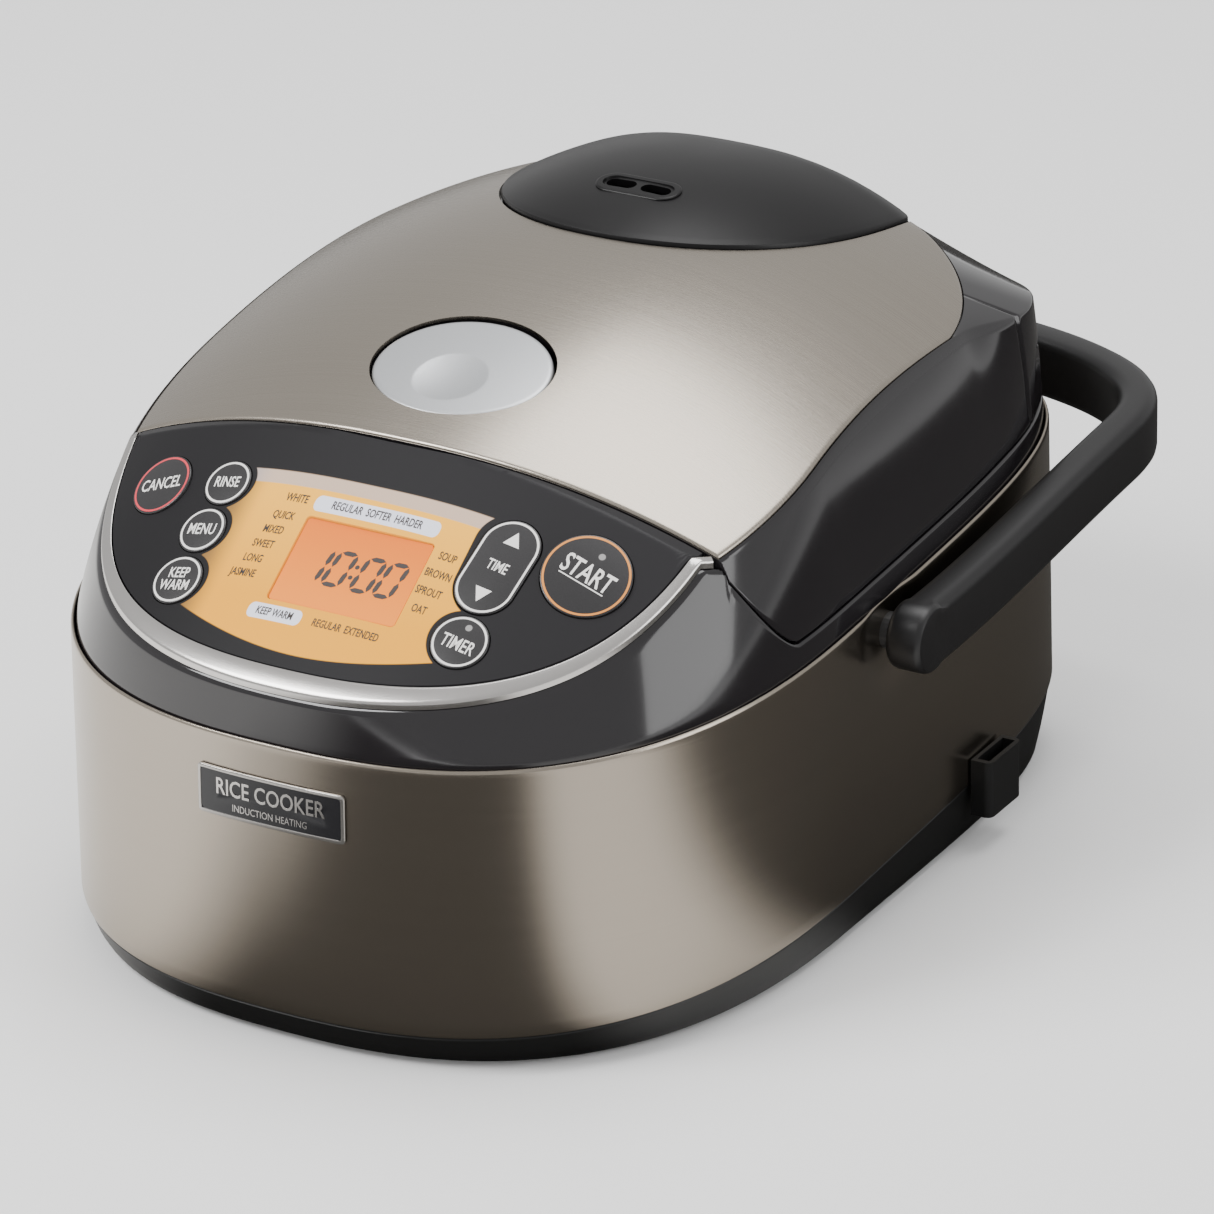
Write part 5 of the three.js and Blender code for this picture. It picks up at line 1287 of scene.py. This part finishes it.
def plate_inside(x, y, inset):
    rear = np.maximum(0.0, y + inset - PLATE_BEND_Y) / PLATE_REAR
    side = np.abs(x) * (1 + inset / PLATE_HALF) / PLATE_HALF
    keeps = np.where(y + inset < PLATE_BEND_Y, 0.0, side ** PLATE_POWER + rear ** PLATE_POWER) < 1
    front = y > lid_front(x) + LID_FRONT_GAP + inset
    return (wall_value(x, y, dome(x, y), inset) < 1) & front & keeps


lid_rays = np.sort(np.concatenate([rays, even + math.pi / 360]))
corners = [math.atan2(PLATE_CORNER[1] - CENTRE_Y, s * PLATE_CORNER[0]) % (2 * math.pi) for s in (1, -1)]
near_corner = np.concatenate([np.linspace(c - 0.06, c + 0.06, 41) for c in corners])
lid_rays = np.unique(np.round(np.concatenate([lid_rays, near_corner]), 6))


def plate_ring(inset, drop, share=1.0):
    x, y = reach(lid_rays, lambda px, py: plate_inside(px, py, inset))
    x, y = x * share, CENTRE_Y + (y - CENTRE_Y) * share
    return np.stack([x, y, dome(x, y) - drop], axis=1)


def plate_pole(drop):
    return (0.0, CENTRE_Y, float(dome(0.0, CENTRE_Y)) - drop)


shares = [k / 26 for k in range(1, 26)] + [0.985]
top_rings = [plate_ring(PLATE_RIM, 0.0, s) for s in shares]
edge_rings = [plate_ring(PLATE_RIM + 0.9, 0.0), plate_ring(PLATE_RIM + 0.35, 0.12)]
edge_rings += [plate_ring(PLATE_RIM + 0.08, 0.4), plate_ring(PLATE_RIM, 0.8), plate_ring(PLATE_RIM, 1.15)]
under_rings = [plate_ring(PLATE_RIM + 1.2, PLATE_THICKNESS, s) for s in (1.0, 0.9, 0.7, 0.5, 0.3, 0.12)]
plate = skin("lid_plate", plate_pole(0.0), top_rings + edge_rings + under_rings,
             plate_pole(PLATE_THICKNESS), 40.0)
print("plate blank:", len(plate.data.polygons), "faces")

# %% Openings in the lid
CAP = dict(centre_y=138.0, axis_y=112.0, half=66.0, front=80.0, rear=27.0, gap=0.9)
BUTTON = dict(y=-25.5, half_x=31.0, half_y=24.2, gap=0.9, sunk=0.8)
button_angle = math.atan(DOME_RISE - 2 * DOME_FALL * BUTTON["y"])


def cap_ratio(x, y):
    front = y < CAP["centre_y"]
    power = np.where(front, 2.2, 4.0)
    depth = np.where(front, CAP["front"], CAP["rear"])
    side = (np.abs(x) / CAP["half"]) ** power
    return (side + (np.abs(y - CAP["centre_y"]) / depth) ** power) ** (1 / power)


cap_rays = full_turn(240)


def cap_spots(grow=0.0, share=1.0):
    def inside(x, y):
        near_y = CAP["axis_y"] + (y - CAP["axis_y"]) * (1 - grow / 50)
        return cap_ratio(x * (1 - grow / CAP["half"]), near_y) < 1
    x, y = reach(cap_rays, inside, CAP["axis_y"])
    return x * share, CAP["axis_y"] + (y - CAP["axis_y"]) * share


def cap_ring(height, grow=0.0, share=1.0):
    return with_height(*cap_spots(grow, share), height)


def cap_prism(name, low):
    axis = (0.0, CAP["axis_y"])
    start = (*axis, float(low(*axis)) if callable(low) else low)
    lower = [cap_ring(low, CAP["gap"], s) for s in (0.3, 0.6, 0.85, 1.0)]
    return skin(name, start, lower + [cap_ring(240.0, CAP["gap"])], (*axis, 240.0))


BUTTON_MATRIX = Matrix.Translation(
    Vector(place([(0, BUTTON["y"], float(dome(0.0, BUTTON["y"])))])[0])
) @ Matrix.Rotation(button_angle, 4, "X")


def button_prism(name, grow, low, high):
    turn = full_turn(160)
    outline = np.stack([(BUTTON["half_x"] + grow) * np.cos(turn),
                        (BUTTON["half_y"] + grow) * np.sin(turn)], axis=1)
    return stacked(name, outline, [(0, low), (0, high)], BUTTON_MATRIX, uv=False)


cut_with(plate, cap_prism("cap_opening", 150.0), sharp=40.0)
cut_with(plate, button_prism("button_opening", BUTTON["gap"], -30, 20), sharp=40.0)
coat(plate, plate_steel)
remake(plate, "lid", "brushed_shell", "lid_top_plate")
print("plate:", len(plate.data.polygons), "faces")

# %% [markdown]
# The black moulding shows as a glossy wall between the plate and the seam. Its lower edge is
# rounded, and a narrow groove crosses each side near the back, where the lid's hinge cover
# begins. The groove is a ring-by-ring dent: the wall moves inwards where y is close to it.

# %% Lid moulding
GROOVE_Y = 132.5


def lid_low(x, y):
    return seam(y) + 0.5


def lid_loop(share, extra, front_gap=LID_FRONT_GAP, drop=0.0, lift=0.0):
    def find(height):
        def inside(x, y):
            z = height(x, y) if callable(height) else height
            return (wall_value(x, y, z, extra) < 1) & (y > lid_front(x) + front_gap)
        return with_height(*reach(lid_rays, inside), height)
    low = find(lambda x, y: lid_low(x, y) + lift)
    high = find(lambda x, y: dome(x, y) - drop)
    if share == 1:
        loop = high
    elif share == 0:
        loop = low
    else:
        z = low[:, 2] + (high[:, 2] - low[:, 2]) * share
        x, y = reach(lid_rays, lambda px, py: (wall_value(px, py, z, extra) < 1)
                     & (py > lid_front(px) + front_gap))
        loop = np.stack([x, y, z], axis=1)
    depth = 1.1 * np.exp(-((loop[:, 1] - GROOVE_Y) / 0.9) ** 2) * (np.abs(loop[:, 0]) > 70)
    loop[:, 0] -= np.sign(loop[:, 0]) * depth * (0.25 + 0.75 * min(1.0, share * 6))
    return loop


cover_rings = [plate_ring(PLATE_RIM, COVER_STEP, s) for s in (0.15, 0.35, 0.55, 0.75, 0.9, 1.0)]
cover_rings += [plate_ring(PLATE_RIM - 0.35, 0.5)]
cover_rings += [lid_loop(1, 0.55, drop=0.12), lid_loop(1, 0.2, drop=0.2), lid_loop(1, 0.0, drop=0.6)]
cover_rings += [lid_loop(k / 11, 0.0) for k in range(10, 0, -1)]
cover_rings += [lid_loop(0, 0.0, lift=1.0), lid_loop(0, 0.15, lift=0.35), lid_loop(0, 0.6, lift=0.05)]
cover_rings += [lid_loop(0, 2.5, LID_FRONT_GAP + 2.5)]
cover_rings += [lid_loop(1, 3.5, LID_FRONT_GAP + 2.5, drop=4.0)]
cover_rings += [plate_ring(PLATE_RIM + 6.5, 4.0, s) for s in (1.0, 0.8, 0.5, 0.25)]
cover = skin("lid_moulding", plate_pole(COVER_STEP), cover_rings, plate_pole(4.0))
seat = cap_prism("cap_seat", lambda x, y: dome(x, y) - 1.8)
cut_with(cover, seat)
cut_with(cover, button_prism("button_well", BUTTON["gap"], -30, 20))
DUCT = dict(y=95.0, z=190.0, radius=9.6)
duct_place = Matrix.Translation(Vector(place([(0, DUCT["y"], DUCT["z"])])[0]))
duct_bore = stacked("duct_bore", circle * DUCT["radius"], [(0, -40), (0, 40)], duct_place, uv=False)
cut_with(cover, duct_bore)
coat(cover, gloss_black)
remake(cover, "lid", "gloss_black", "lid_cover")
print("lid moulding:", len(cover.data.polygons), "faces")

# %% [markdown]
# The vent cap is a satin black shell that stands a little above the plate. Steam leaves
# through two slots inside a raised oval collar. The collar is a stretched ring on the cap's
# surface, and the slots are cut last, through the collar's floor.

# %% Vent cap
CAP_CROWN = 8.5
SLOT_Y = 86.5
SLOT_SPREAD = 6.5
CAP_EDGE = 1.2
CAP_WALL = 2.4


def cap_over(x, y):
    return dome(x, y) + CAP_EDGE + CAP_CROWN * (1 - np.minimum(1.0, cap_ratio(x, y)) ** 2.5)


def cap_edge(drop):
    return lambda x, y: dome(x, y) + CAP_EDGE - drop


over = [cap_ring(cap_over, 0.0, s) for s in [k / 24 for k in range(1, 23)] + [0.945, 0.97]]
over += [cap_ring(lambda x, y: cap_over(x, y) - 0.1, 0.0, 0.985)]
over += [cap_ring(cap_edge(0.02), 0.0, 0.995), cap_ring(cap_edge(0.5), 0.0, 1.0)]
over += [cap_ring(cap_edge(2.2), 0.0, 1.0)]
under = [cap_ring(lambda x, y: dome(x, y) - 1.2, 0.0, 0.965)]
under += [cap_ring(lambda x, y: cap_over(x, y) - CAP_WALL, 0.0, s) for s in (0.93, 0.75, 0.5, 0.25)]
axis_z = float(cap_over(0.0, CAP["axis_y"]))
cap = skin("vent_cap", (0, CAP["axis_y"], axis_z), over + under,
           (0, CAP["axis_y"], axis_z - CAP_WALL))
SLOT_MATRIX = panel_frame(0.0, SLOT_Y, cap_over)


def long_oval(half_x, half_y):
    flat = pill_outline(half_y, half_x - half_y)
    return flat[:, ::-1] * (1, -1)


collar = stacked("vent_collar", long_oval(15.5, 6.4),
                 [(0, -2.2), (0, -0.15), (0.2, 0.1), (0.5, 0.25), (0.9, 0.3)], SLOT_MATRIX, uv=False)
well = stacked("collar_well", long_oval(13.4, 4.3), [(0.5, -0.5), (0, 1.6)], SLOT_MATRIX, uv=False)
cut_with(collar, well)
slots = []
for side in (-1, 1):
    there = SLOT_MATRIX @ Matrix.Translation((SLOT_SPREAD * side * MM, 0, 0))
    shape = long_oval(5.4, 2.6)
    slots.append(stacked("steam_slot_%d" % side, shape, [(0, -9), (0, 6)], there, uv=False))
fuse(cap, collar)
cut_with(cap, *slots)
coat(cap, satin_black)
remake(cap, "vent_cap", "satin_black", "steam_vent_cap")
print("vent cap:", len(cap.data.polygons), "faces")

# %% [markdown]
# The open button is an oval with a painted silver finish, set a little below the plate. A
# round dish near its middle gives the thumb a place to press. Its face is a polar grid on
# the dome, lowered inside the dish by a shallow bowl.

# %% Open button
THUMB_DISH = dict(x=-1.0, y=-31.5, radius=12.6, depth=1.3)


def button_top(x, y):
    far = np.hypot(x - THUMB_DISH["x"], (y - THUMB_DISH["y"]) * 1.12)
    bowl = THUMB_DISH["depth"] * np.maximum(0.0, 1 - (far / THUMB_DISH["radius"]) ** 2)
    return dome(x, y) - BUTTON["sunk"] - bowl


def button_ring(inset, drop, share=1.0, flat=None):
    turn = full_turn(160)
    x = (BUTTON["half_x"] - inset) * share * np.cos(turn)
    v = (BUTTON["half_y"] - inset) * share * np.sin(turn)
    y = BUTTON["y"] + v * math.cos(button_angle)
    z = button_top(x, y) - drop if flat is None else np.full_like(x, flat) + v * math.sin(button_angle)
    return np.stack([x, y, z], axis=1)


base_z = float(dome(0.0, BUTTON["y"])) - 6.8
face = [button_ring(1.6, 0.0, k / 60) for k in range(1, 61)]
face += [button_ring(0.9, 0.05), button_ring(0.4, 0.3), button_ring(0.1, 0.75), button_ring(0.0, 1.4)]
back = [button_ring(0.0, 0.0, 1.0, base_z), button_ring(0.0, 0.0, 0.5, base_z)]
pole_top = (0, BUTTON["y"], float(button_top(np.array(0.0), np.array(BUTTON["y"]))))
button = skin("thumb_button", pole_top, face + back, (0, BUTTON["y"], base_z))
paint = Finish("silver paint", metallic=0.75)
sparkle = paint.noise((9000, 9000, 9000), 1.0)
paint.set(
    base_color=paint.mix(sparkle, colour("a9abae"), colour("d2d4d6")),
    roughness=(0.36 + (sparkle - 0.5) * 0.12).clamped(),
    coat_weight=0.3,
)
coat(button, paint.material)
remake(button, "button", "button_metal", "open_button")
print("button:", len(button.data.polygons), "faces")

# %% [markdown]
# The handle is a bail: a bar that runs round the back and ends in a disc over each pivot.
# It follows a path, so Geometry Nodes carry a section along it. The section is a rectangle
# with its corners filleted, and the path's normal is kept level so that the bar never
# twists. The end discs are joined on afterwards.

# %% Handle bar
HANDLE = dict(gap=3.0, back=226.0, corner=62.0, rise=12.0, thick=13.0, tall=23.0, fillet=4.2)
HANDLE_X = HALF_WIDTH + HANDLE["gap"] + HANDLE["thick"] / 2
STRAIGHT_SHARE = 0.4
CORNER_POWER = 2 / 2.6


def handle_tree():
    tree = Tree("handle bar", {"Thickness": "Float", "Height": "Float", "Fillet": "Float"})
    path = tree.node("GeometryNodeMeshToCurve", Mesh=tree.given("Geometry"))
    level = tree.node("GeometryNodeSetCurveNormal", {"mode": "Z_UP"}, Curve=path.outputs[0])
    block = tree.node("GeometryNodeCurvePrimitiveQuadrilateral",
                      Width=tree.given("Thickness"), Height=tree.given("Height"))
    round_off = tree.node("GeometryNodeFilletCurve", {"mode": "POLY"}, Curve=block.outputs[0],
                          Radius=tree.given("Fillet"), Count=4)
    sweep = tree.node("GeometryNodeCurveToMesh", Curve=level.outputs[0], Fill_Caps=True)
    tree.group.links.new(round_off.outputs[0], sweep.inputs["Profile Curve"])
    return tree.finish(sweep.outputs[0], plain_material)


def handle_point(share):
    """Middle of the bar, from one pivot (0) to the middle of the back (1)."""
    straight = HANDLE["back"] - HANDLE["corner"] - PIVOT[0]
    if share <= STRAIGHT_SHARE:
        x, y = HANDLE_X, PIVOT[0] + straight * share / STRAIGHT_SHARE
    else:
        turn = (share - STRAIGHT_SHARE) / (1 - STRAIGHT_SHARE) * math.pi / 2
        x = HANDLE_X * max(0.0, math.cos(turn)) ** CORNER_POWER
        y = HANDLE["back"] - HANDLE["corner"] * (1 - math.sin(turn) ** CORNER_POWER)
    climb_length = (HANDLE["back"] - PIVOT[0]) * 0.9
    z = PIVOT[1] + HANDLE["rise"] * float(smooth((y - PIVOT[0]) / climb_length))
    return x, y, z


half_path = [handle_point(k / 70) for k in range(71)]
whole_path = half_path + [(-x, y, z) for x, y, z in half_path[-2::-1]]
rail = bpy.data.meshes.new("rail")
rail.from_pydata([tuple(p) for p in place(whole_path)],
                 [(k, k + 1) for k in range(len(whole_path) - 1)], [])
names = {"Thickness": "thick", "Height": "tall", "Fillet": "fillet"}
sizes = {label: HANDLE[key] * MM for label, key in names.items()}
handle = run_tree("carry_handle", handle_tree(), sizes, rail)
print("handle bar size in mm:", [round(d / MM, 1) for d in handle.dimensions])

# %% Handle ends
def across_matrix(x, y, z):
    """A frame whose z axis points along +X, at a place on the body."""
    matrix = Matrix(((0, 0, 1), (1, 0, 0), (0, 1, 0))).to_4x4()
    matrix.translation = Vector(place([(x, y, z)])[0])
    return matrix


half_disc = [(0, 4), (0.35, 5.3), (1.2, 6.2), (2.4, 6.5)]
DISC_LEVELS = [(inset, -height) for inset, height in half_disc[::-1]] + half_disc
ends = []
for side in (-1, 1):
    middle = across_matrix(side * HANDLE_X, *PIVOT)
    disc = circle * HANDLE["tall"] / 2
    ends.append(stacked("handle_end_%d" % side, disc, DISC_LEVELS, middle, uv=False))
shade(handle.data)
fuse(handle, *ends)
coat(handle, handle_black)
remake(handle, "handle_bail", "satin_black", "handle")
print("handle:", len(handle.data.polygons), "faces")

# %% [markdown]
# The badge is a thin plate bent to the shell's front. It has a dark face, a narrow silver
# border and two lines of plain words that say what kind of cooker this is. The border is a
# raised ring, and each point of a word is laid on the same curve as the plate.

# %% Badge
BADGE_Z = 81.5
BADGE_HALF_X = 27.0
BADGE_HALF_Z = 8.2
BADGE_BORDER = 1.2


def shell_front(x, z, proud):
    top, bottom = shell_top(-FRONT_DEPTH), shell_bottom(-FRONT_DEPTH)
    share = np.clip((top - z) / (top - bottom), 0, 1)
    depth = FRONT_DEPTH + FOOT_SPREAD * share + proud
    return -depth * (1 - (np.abs(x) / (HALF_WIDTH + proud)) ** NOSE_POWER) ** (1 / NOSE_POWER)


def dense(outline, step=1.0):
    """Adds points along an outline, so that a bent plate follows its curve."""
    points = []
    for (x0, y0), (x1, y1) in zip(outline, np.roll(outline, -1, axis=0)):
        parts = max(1, int(math.hypot(x1 - x0, y1 - y0) / step))
        points += [(x0 + (x1 - x0) * k / parts, y0 + (y1 - y0) * k / parts) for k in range(parts)]
    return np.array(points)


badge_plan = dense(rounded_rectangle(BADGE_HALF_X, BADGE_HALF_Z, 1.4))


def badge_ring(inset, proud):
    """The badge's outline, drawn in by an inset and laid over the front of the shell."""
    outline = badge_plan * (1 - inset / BADGE_HALF_X, 1 - inset / BADGE_HALF_Z)
    x, z = outline[:, 0], BADGE_Z + outline[:, 1]
    return np.stack([x, shell_front(x, z, proud), z], axis=1)


badge = skin("badge_plate", (0, float(shell_front(0.0, BADGE_Z, 0.3)), BADGE_Z),
             [badge_ring(13, 0.3), badge_ring(0, 0.3), badge_ring(0.0, 0.9), badge_ring(0.25, 1.1),
              badge_ring(1.1, 1.1), badge_ring(1.2, 0.85), badge_ring(4, 0.85), badge_ring(7.5, 0.85)],
             (0, float(shell_front(0.0, BADGE_Z, 0.85)), BADGE_Z), 50.0)


def badge_finish():
    made = Finish("badge enamel")
    x, _, z = made.axes()
    side = abs(x).edge((BADGE_HALF_X - BADGE_BORDER) * MM, 0.1 * MM)
    upright = abs(z - (BADGE_Z + float(SHIFT[2])) * MM)
    rim = side.high(upright.edge((BADGE_HALF_Z - BADGE_BORDER) * MM, 0.1 * MM))
    grain = made.noise((1800, 1800, 1800), 2.0)
    enamel = made.mix(grain, colour("121214"), colour("1c1c1f"))
    made.set(
        base_color=made.mix(rim, enamel, colour("a9a6a2")),
        metallic=rim * 0.9,
        roughness=(0.2 + grain * 0.08).clamped(),
    )
    return made.material


coat(badge, badge_finish())
remake(badge, "cooker", "badge", "front_badge")
for name, words, size, dz in (("badge_words_large", "RICE COOKER", 7.8, 1.8),
                              ("badge_words_small", "INDUCTION HEATING", 3.4, -4.4)):
    mesh, spots = word_mesh(words, size, 0.80, 0.08 if size > 5 else 0.0)
    x, z = spots[:, 0], BADGE_Z + dz + spots[:, 1]
    points = np.stack([x, shell_front(x, z, 0.93) - spots[:, 2], z], axis=1)
    remake(inked(name, mesh, place(points), silver), "cooker", "badge")
print("badge ready")

# %% [markdown]
# The pan hangs in the body, under the lid. It is spun from thick metal, so it is a lathe: a
# profile turned about the pan's axis. It has a dark non-stick coat with a faint speckle, and
# a bright machined flange that the seal presses on.

# %% Pan
PAN_Y = 50.0
PAN_INNER = 89.0
PAN_OUTER = 91.0


def lathe(name, profile):
    turn = full_turn(128)
    rings = []
    for radius, z in profile[1:-1]:
        rings.append(with_height(radius * np.cos(turn), PAN_Y + radius * np.sin(turn), z))
    return skin(name, (0, PAN_Y, profile[0][1]), rings, (0, PAN_Y, profile[-1][1]))


pan_low, pan_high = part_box("inner_pan")
pan_rim = pan_high[2] / MM - SHIFT[2]
pan_floor = pan_low[2] / MM - SHIFT[2]


def floor_corner(radius, across, up):
    """A quarter turn from the pan's floor to its wall."""
    turns = np.linspace(0, math.pi / 2, 9)
    return [(radius - across * (1 - math.sin(a)), pan_floor + 16 - up * math.cos(a)) for a in turns]


flange = [(PAN_OUTER, 2.2), (91.2, 1.7), (94.9, 1.5), (95.4, 1.1), (95.5, 0.7), (95.2, 0.2)]
flange += [(94.6, 0), (90.5, 0), (89.4, 0.3), (PAN_INNER, 0.9)]
profile = [(0, pan_floor), (40, pan_floor)] + floor_corner(PAN_OUTER, 16, 16)
profile += [(radius, pan_rim - down) for radius, down in flange]
profile += [(PAN_INNER, z) for z in np.linspace(pan_rim - 8, pan_floor + 24, 5)]
profile += floor_corner(PAN_INNER, 13, 14)[::-1] + [(40, pan_floor + 2), (0, pan_floor + 2)]
pan = lathe("cooking_pan", profile)


def pan_finish():
    made = Finish("pan coat")
    x, y, z = made.axes()
    far = (x * x + (y - (PAN_Y + float(SHIFT[1])) * MM) ** 2.0).math("SQRT")
    top = (pan_rim + float(SHIFT[2]) - 2.6) * MM
    machined = z.step(top, top + 0.2 * MM) * far.step(89.2 * MM, 89.6 * MM)
    speck = made.noise((1300, 1300, 1300), 1.0) > 0.66
    base = made.mix(speck * 0.5, colour("2c2b2b"), colour("77736c"))
    made.set(
        base_color=made.mix(machined, base, colour("c4c1bc")),
        metallic=(0.25 + machined * 0.7).clamped(),
        roughness=(0.42 - machined * 0.14 + speck * 0.06).clamped(),
    )
    return made.material


coat(pan, pan_finish())
remake(pan, "cooker", "pan_coating", "inner_pan")
print("pan:", len(pan.data.polygons), "faces")

# %% [markdown]
# The rest of the cooker is hidden in use, or it is simple enough that the exact solid
# already looks right. Those parts keep their shapes and take a finish that suits what they
# are made of: springs and pins are bright steel, boards are green, the feet are rubber and
# the pan's seal is silicone.

# %% Finishes for the parts kept as they are
copper = brushed("coil copper", colour("b8703a"), 0.35, (400, 400, 3000), 0.12)
board_green = moulded("board green", colour("2f6236"), 0.45, grain=0.00001)
fuse_red = moulded("fuse red", colour("9b2f27"), 0.4, grain=0.00001)
carrier_tan = moulded("carrier tan", colour("b3ab9b"), 0.55, grain=0.00002)
kept = {
    rubber: ["foot_front_left", "foot_front_right", "foot_rear_left", "foot_rear_right"],
    gloss_black: ["rear_housing"],
    tray_black: ["spatula_socket", "cord_outlet", "hinge_barrel", "vent_tray"],
    inner_black: ["top_deck", "panel_carrier", "handle_pivot_left", "handle_pivot_right",
                  "fan_housing", "fan_rotor"],
    inner_grey: ["lid_frame", "steam_duct", "sensor_cap"],
    pan_steel: ["inner_lid", "hinge_pin", "hinge_spring", "button_spring", "sensor_spring",
                "latch_hook", "latch_catch", "pressure_valve"],
    dark_steel: ["valve_solenoid", "heat_sink", "pot_well"],
    silicone: ["pan_gasket"],
    copper: ["induction_coil"],
    carrier_tan: ["coil_carrier"],
    board_green: ["control_board", "power_board"],
    fuse_red: ["safety_valve"],
}
for material, names in kept.items():
    for name in names:
        coat(bpy.data.objects[name], material)
print("parts with a finish of their own:", sum(len(v) for v in kept.values()))

# %% [markdown]
# The cooker stands on a plain pale floor in soft light. Two big soft boxes, one above and to
# the left and one overhead, give the long highlights on steel. A tall one at the right edges
# the lid and the handle, one in front lights the matt parts without being mirrored, and a
# pale world fills the rest. Brushed steel only looks like steel when it has
# something dark to mirror, so a card lies just above the floor that only mirrors see. It is
# dark in some directions round the cooker and pale in others, which gives upright bands.

# %% Floor, light and camera
MIDDLE = (0.0, -0.02, 0.1)


def soft_box(name, at, size, power):
    lamp = bpy.data.lights.new(name, "AREA")
    lamp.shape = "RECTANGLE"
    lamp.size, lamp.size_y = size
    lamp.energy = power
    host = link_new(name, lamp)
    direction = Vector(MIDDLE) - Vector(at)
    host.location = at
    host.rotation_euler = direction.to_track_quat("-Z", "Y").to_euler()
    return host


floor_z = min(corner[2] for corner in cad_box)
floor_corners = [(x, y, floor_z) for x, y in ((-6, -6), (6, -6), (6, 6), (-6, 6))]
floor_mesh = bpy.data.meshes.new("pale_floor")
floor_mesh.from_pydata(floor_corners, [], [(0, 1, 2, 3)])
floor_object = link_new("pale_floor", floor_mesh)
paper = Finish("pale floor", roughness=0.85, specular_ior_level=0.0)
paper.set(base_color=paper.mix(paper.noise((3, 3, 3)), (0.86, 0.86, 0.86), (0.89, 0.89, 0.89)))
coat(floor_object, paper.material)

world = bpy.data.worlds.new("studio")
bpy.context.scene.world = world
world.use_nodes = True
sky = world.node_tree.nodes["Background"]
sky.inputs["Color"].default_value = (1.0, 1.0, 1.0, 1.0)
sky.inputs["Strength"].default_value = 0.75
soft_box("key_light", (-0.9, -1.1, 1.5), (0.9, 0.9), 34)
soft_box("top_light", (0.1, 0.5, 1.9), (1.6, 1.0), 26)
soft_box("front_strip", (0.25, -2.0, 0.45), (0.35, 1.4), 16).visible_glossy = False
soft_box("side_strip", (2.0, 0.1, 0.7), (1.1, 1.4), 16)
CARD_RADIUS = 1.6


def mirror_card():
    """A disc near the floor that only mirrors see, shaded by direction round the cooker."""
    card_z = floor_z + 2 * MM
    rim_spots = [(CARD_RADIUS * math.cos(t), CARD_RADIUS * math.sin(t), card_z) for t in full_turn(96)]
    mesh = bpy.data.meshes.new("mirror_card")
    mesh.from_pydata(rim_spots, [], [tuple(range(len(rim_spots)))])
    host = link_new("mirror_card", mesh)
    made = Finish("mirror card", roughness=1.0, specular_ior_level=0.0)
    x, y, _ = made.axes()
    around = made.node("ShaderNodeMath", {"operation": "ARCTAN2"}, {0: x, 1: -y}) * (180 / math.pi)
    pale = around.step(-122, -96) * (1 - around.step(-28, -8))
    pale = pale.high(around.step(30, 42) * (1 - around.step(60, 80)) * 0.85)
    made.set(base_color=made.mix(pale, (0.07, 0.068, 0.065), (0.95, 0.94, 0.92)))
    coat(host, made.material)
    for ray in ("camera", "shadow", "diffuse", "transmission"):
        setattr(host, "visible_" + ray, False)


mirror_card()
AZIMUTH, ELEVATION, ROLL = math.radians(31.08), math.radians(24.42), math.radians(-1.43)
TARGET = (38.92, -4.89, 100.0)
DISTANCE = 2.29393
LENS = 211.35
back = Vector((math.sin(AZIMUTH) * math.cos(ELEVATION),
               -math.cos(AZIMUTH) * math.cos(ELEVATION), math.sin(ELEVATION)))
right = Vector((math.cos(AZIMUTH), math.sin(AZIMUTH), 0))
up = back.cross(right)
rolled_right = right * math.cos(ROLL) + up * math.sin(ROLL)
rolled_up = up * math.cos(ROLL) - right * math.sin(ROLL)
view = Matrix((rolled_right, rolled_up, back)).transposed().to_4x4()
view.translation = Vector(place([TARGET])[0]) + back * DISTANCE
camera = bpy.data.cameras.new("camera")
camera.sensor_width = 36.0
camera.lens = LENS
camera_object = link_new("camera", camera)
camera_object.matrix_world = view
bpy.context.scene.camera = camera_object
print("camera is", round(DISTANCE, 2), "m away")

# %% [markdown]
# The last cell prints a closing line.

# %% Finish
print("done")
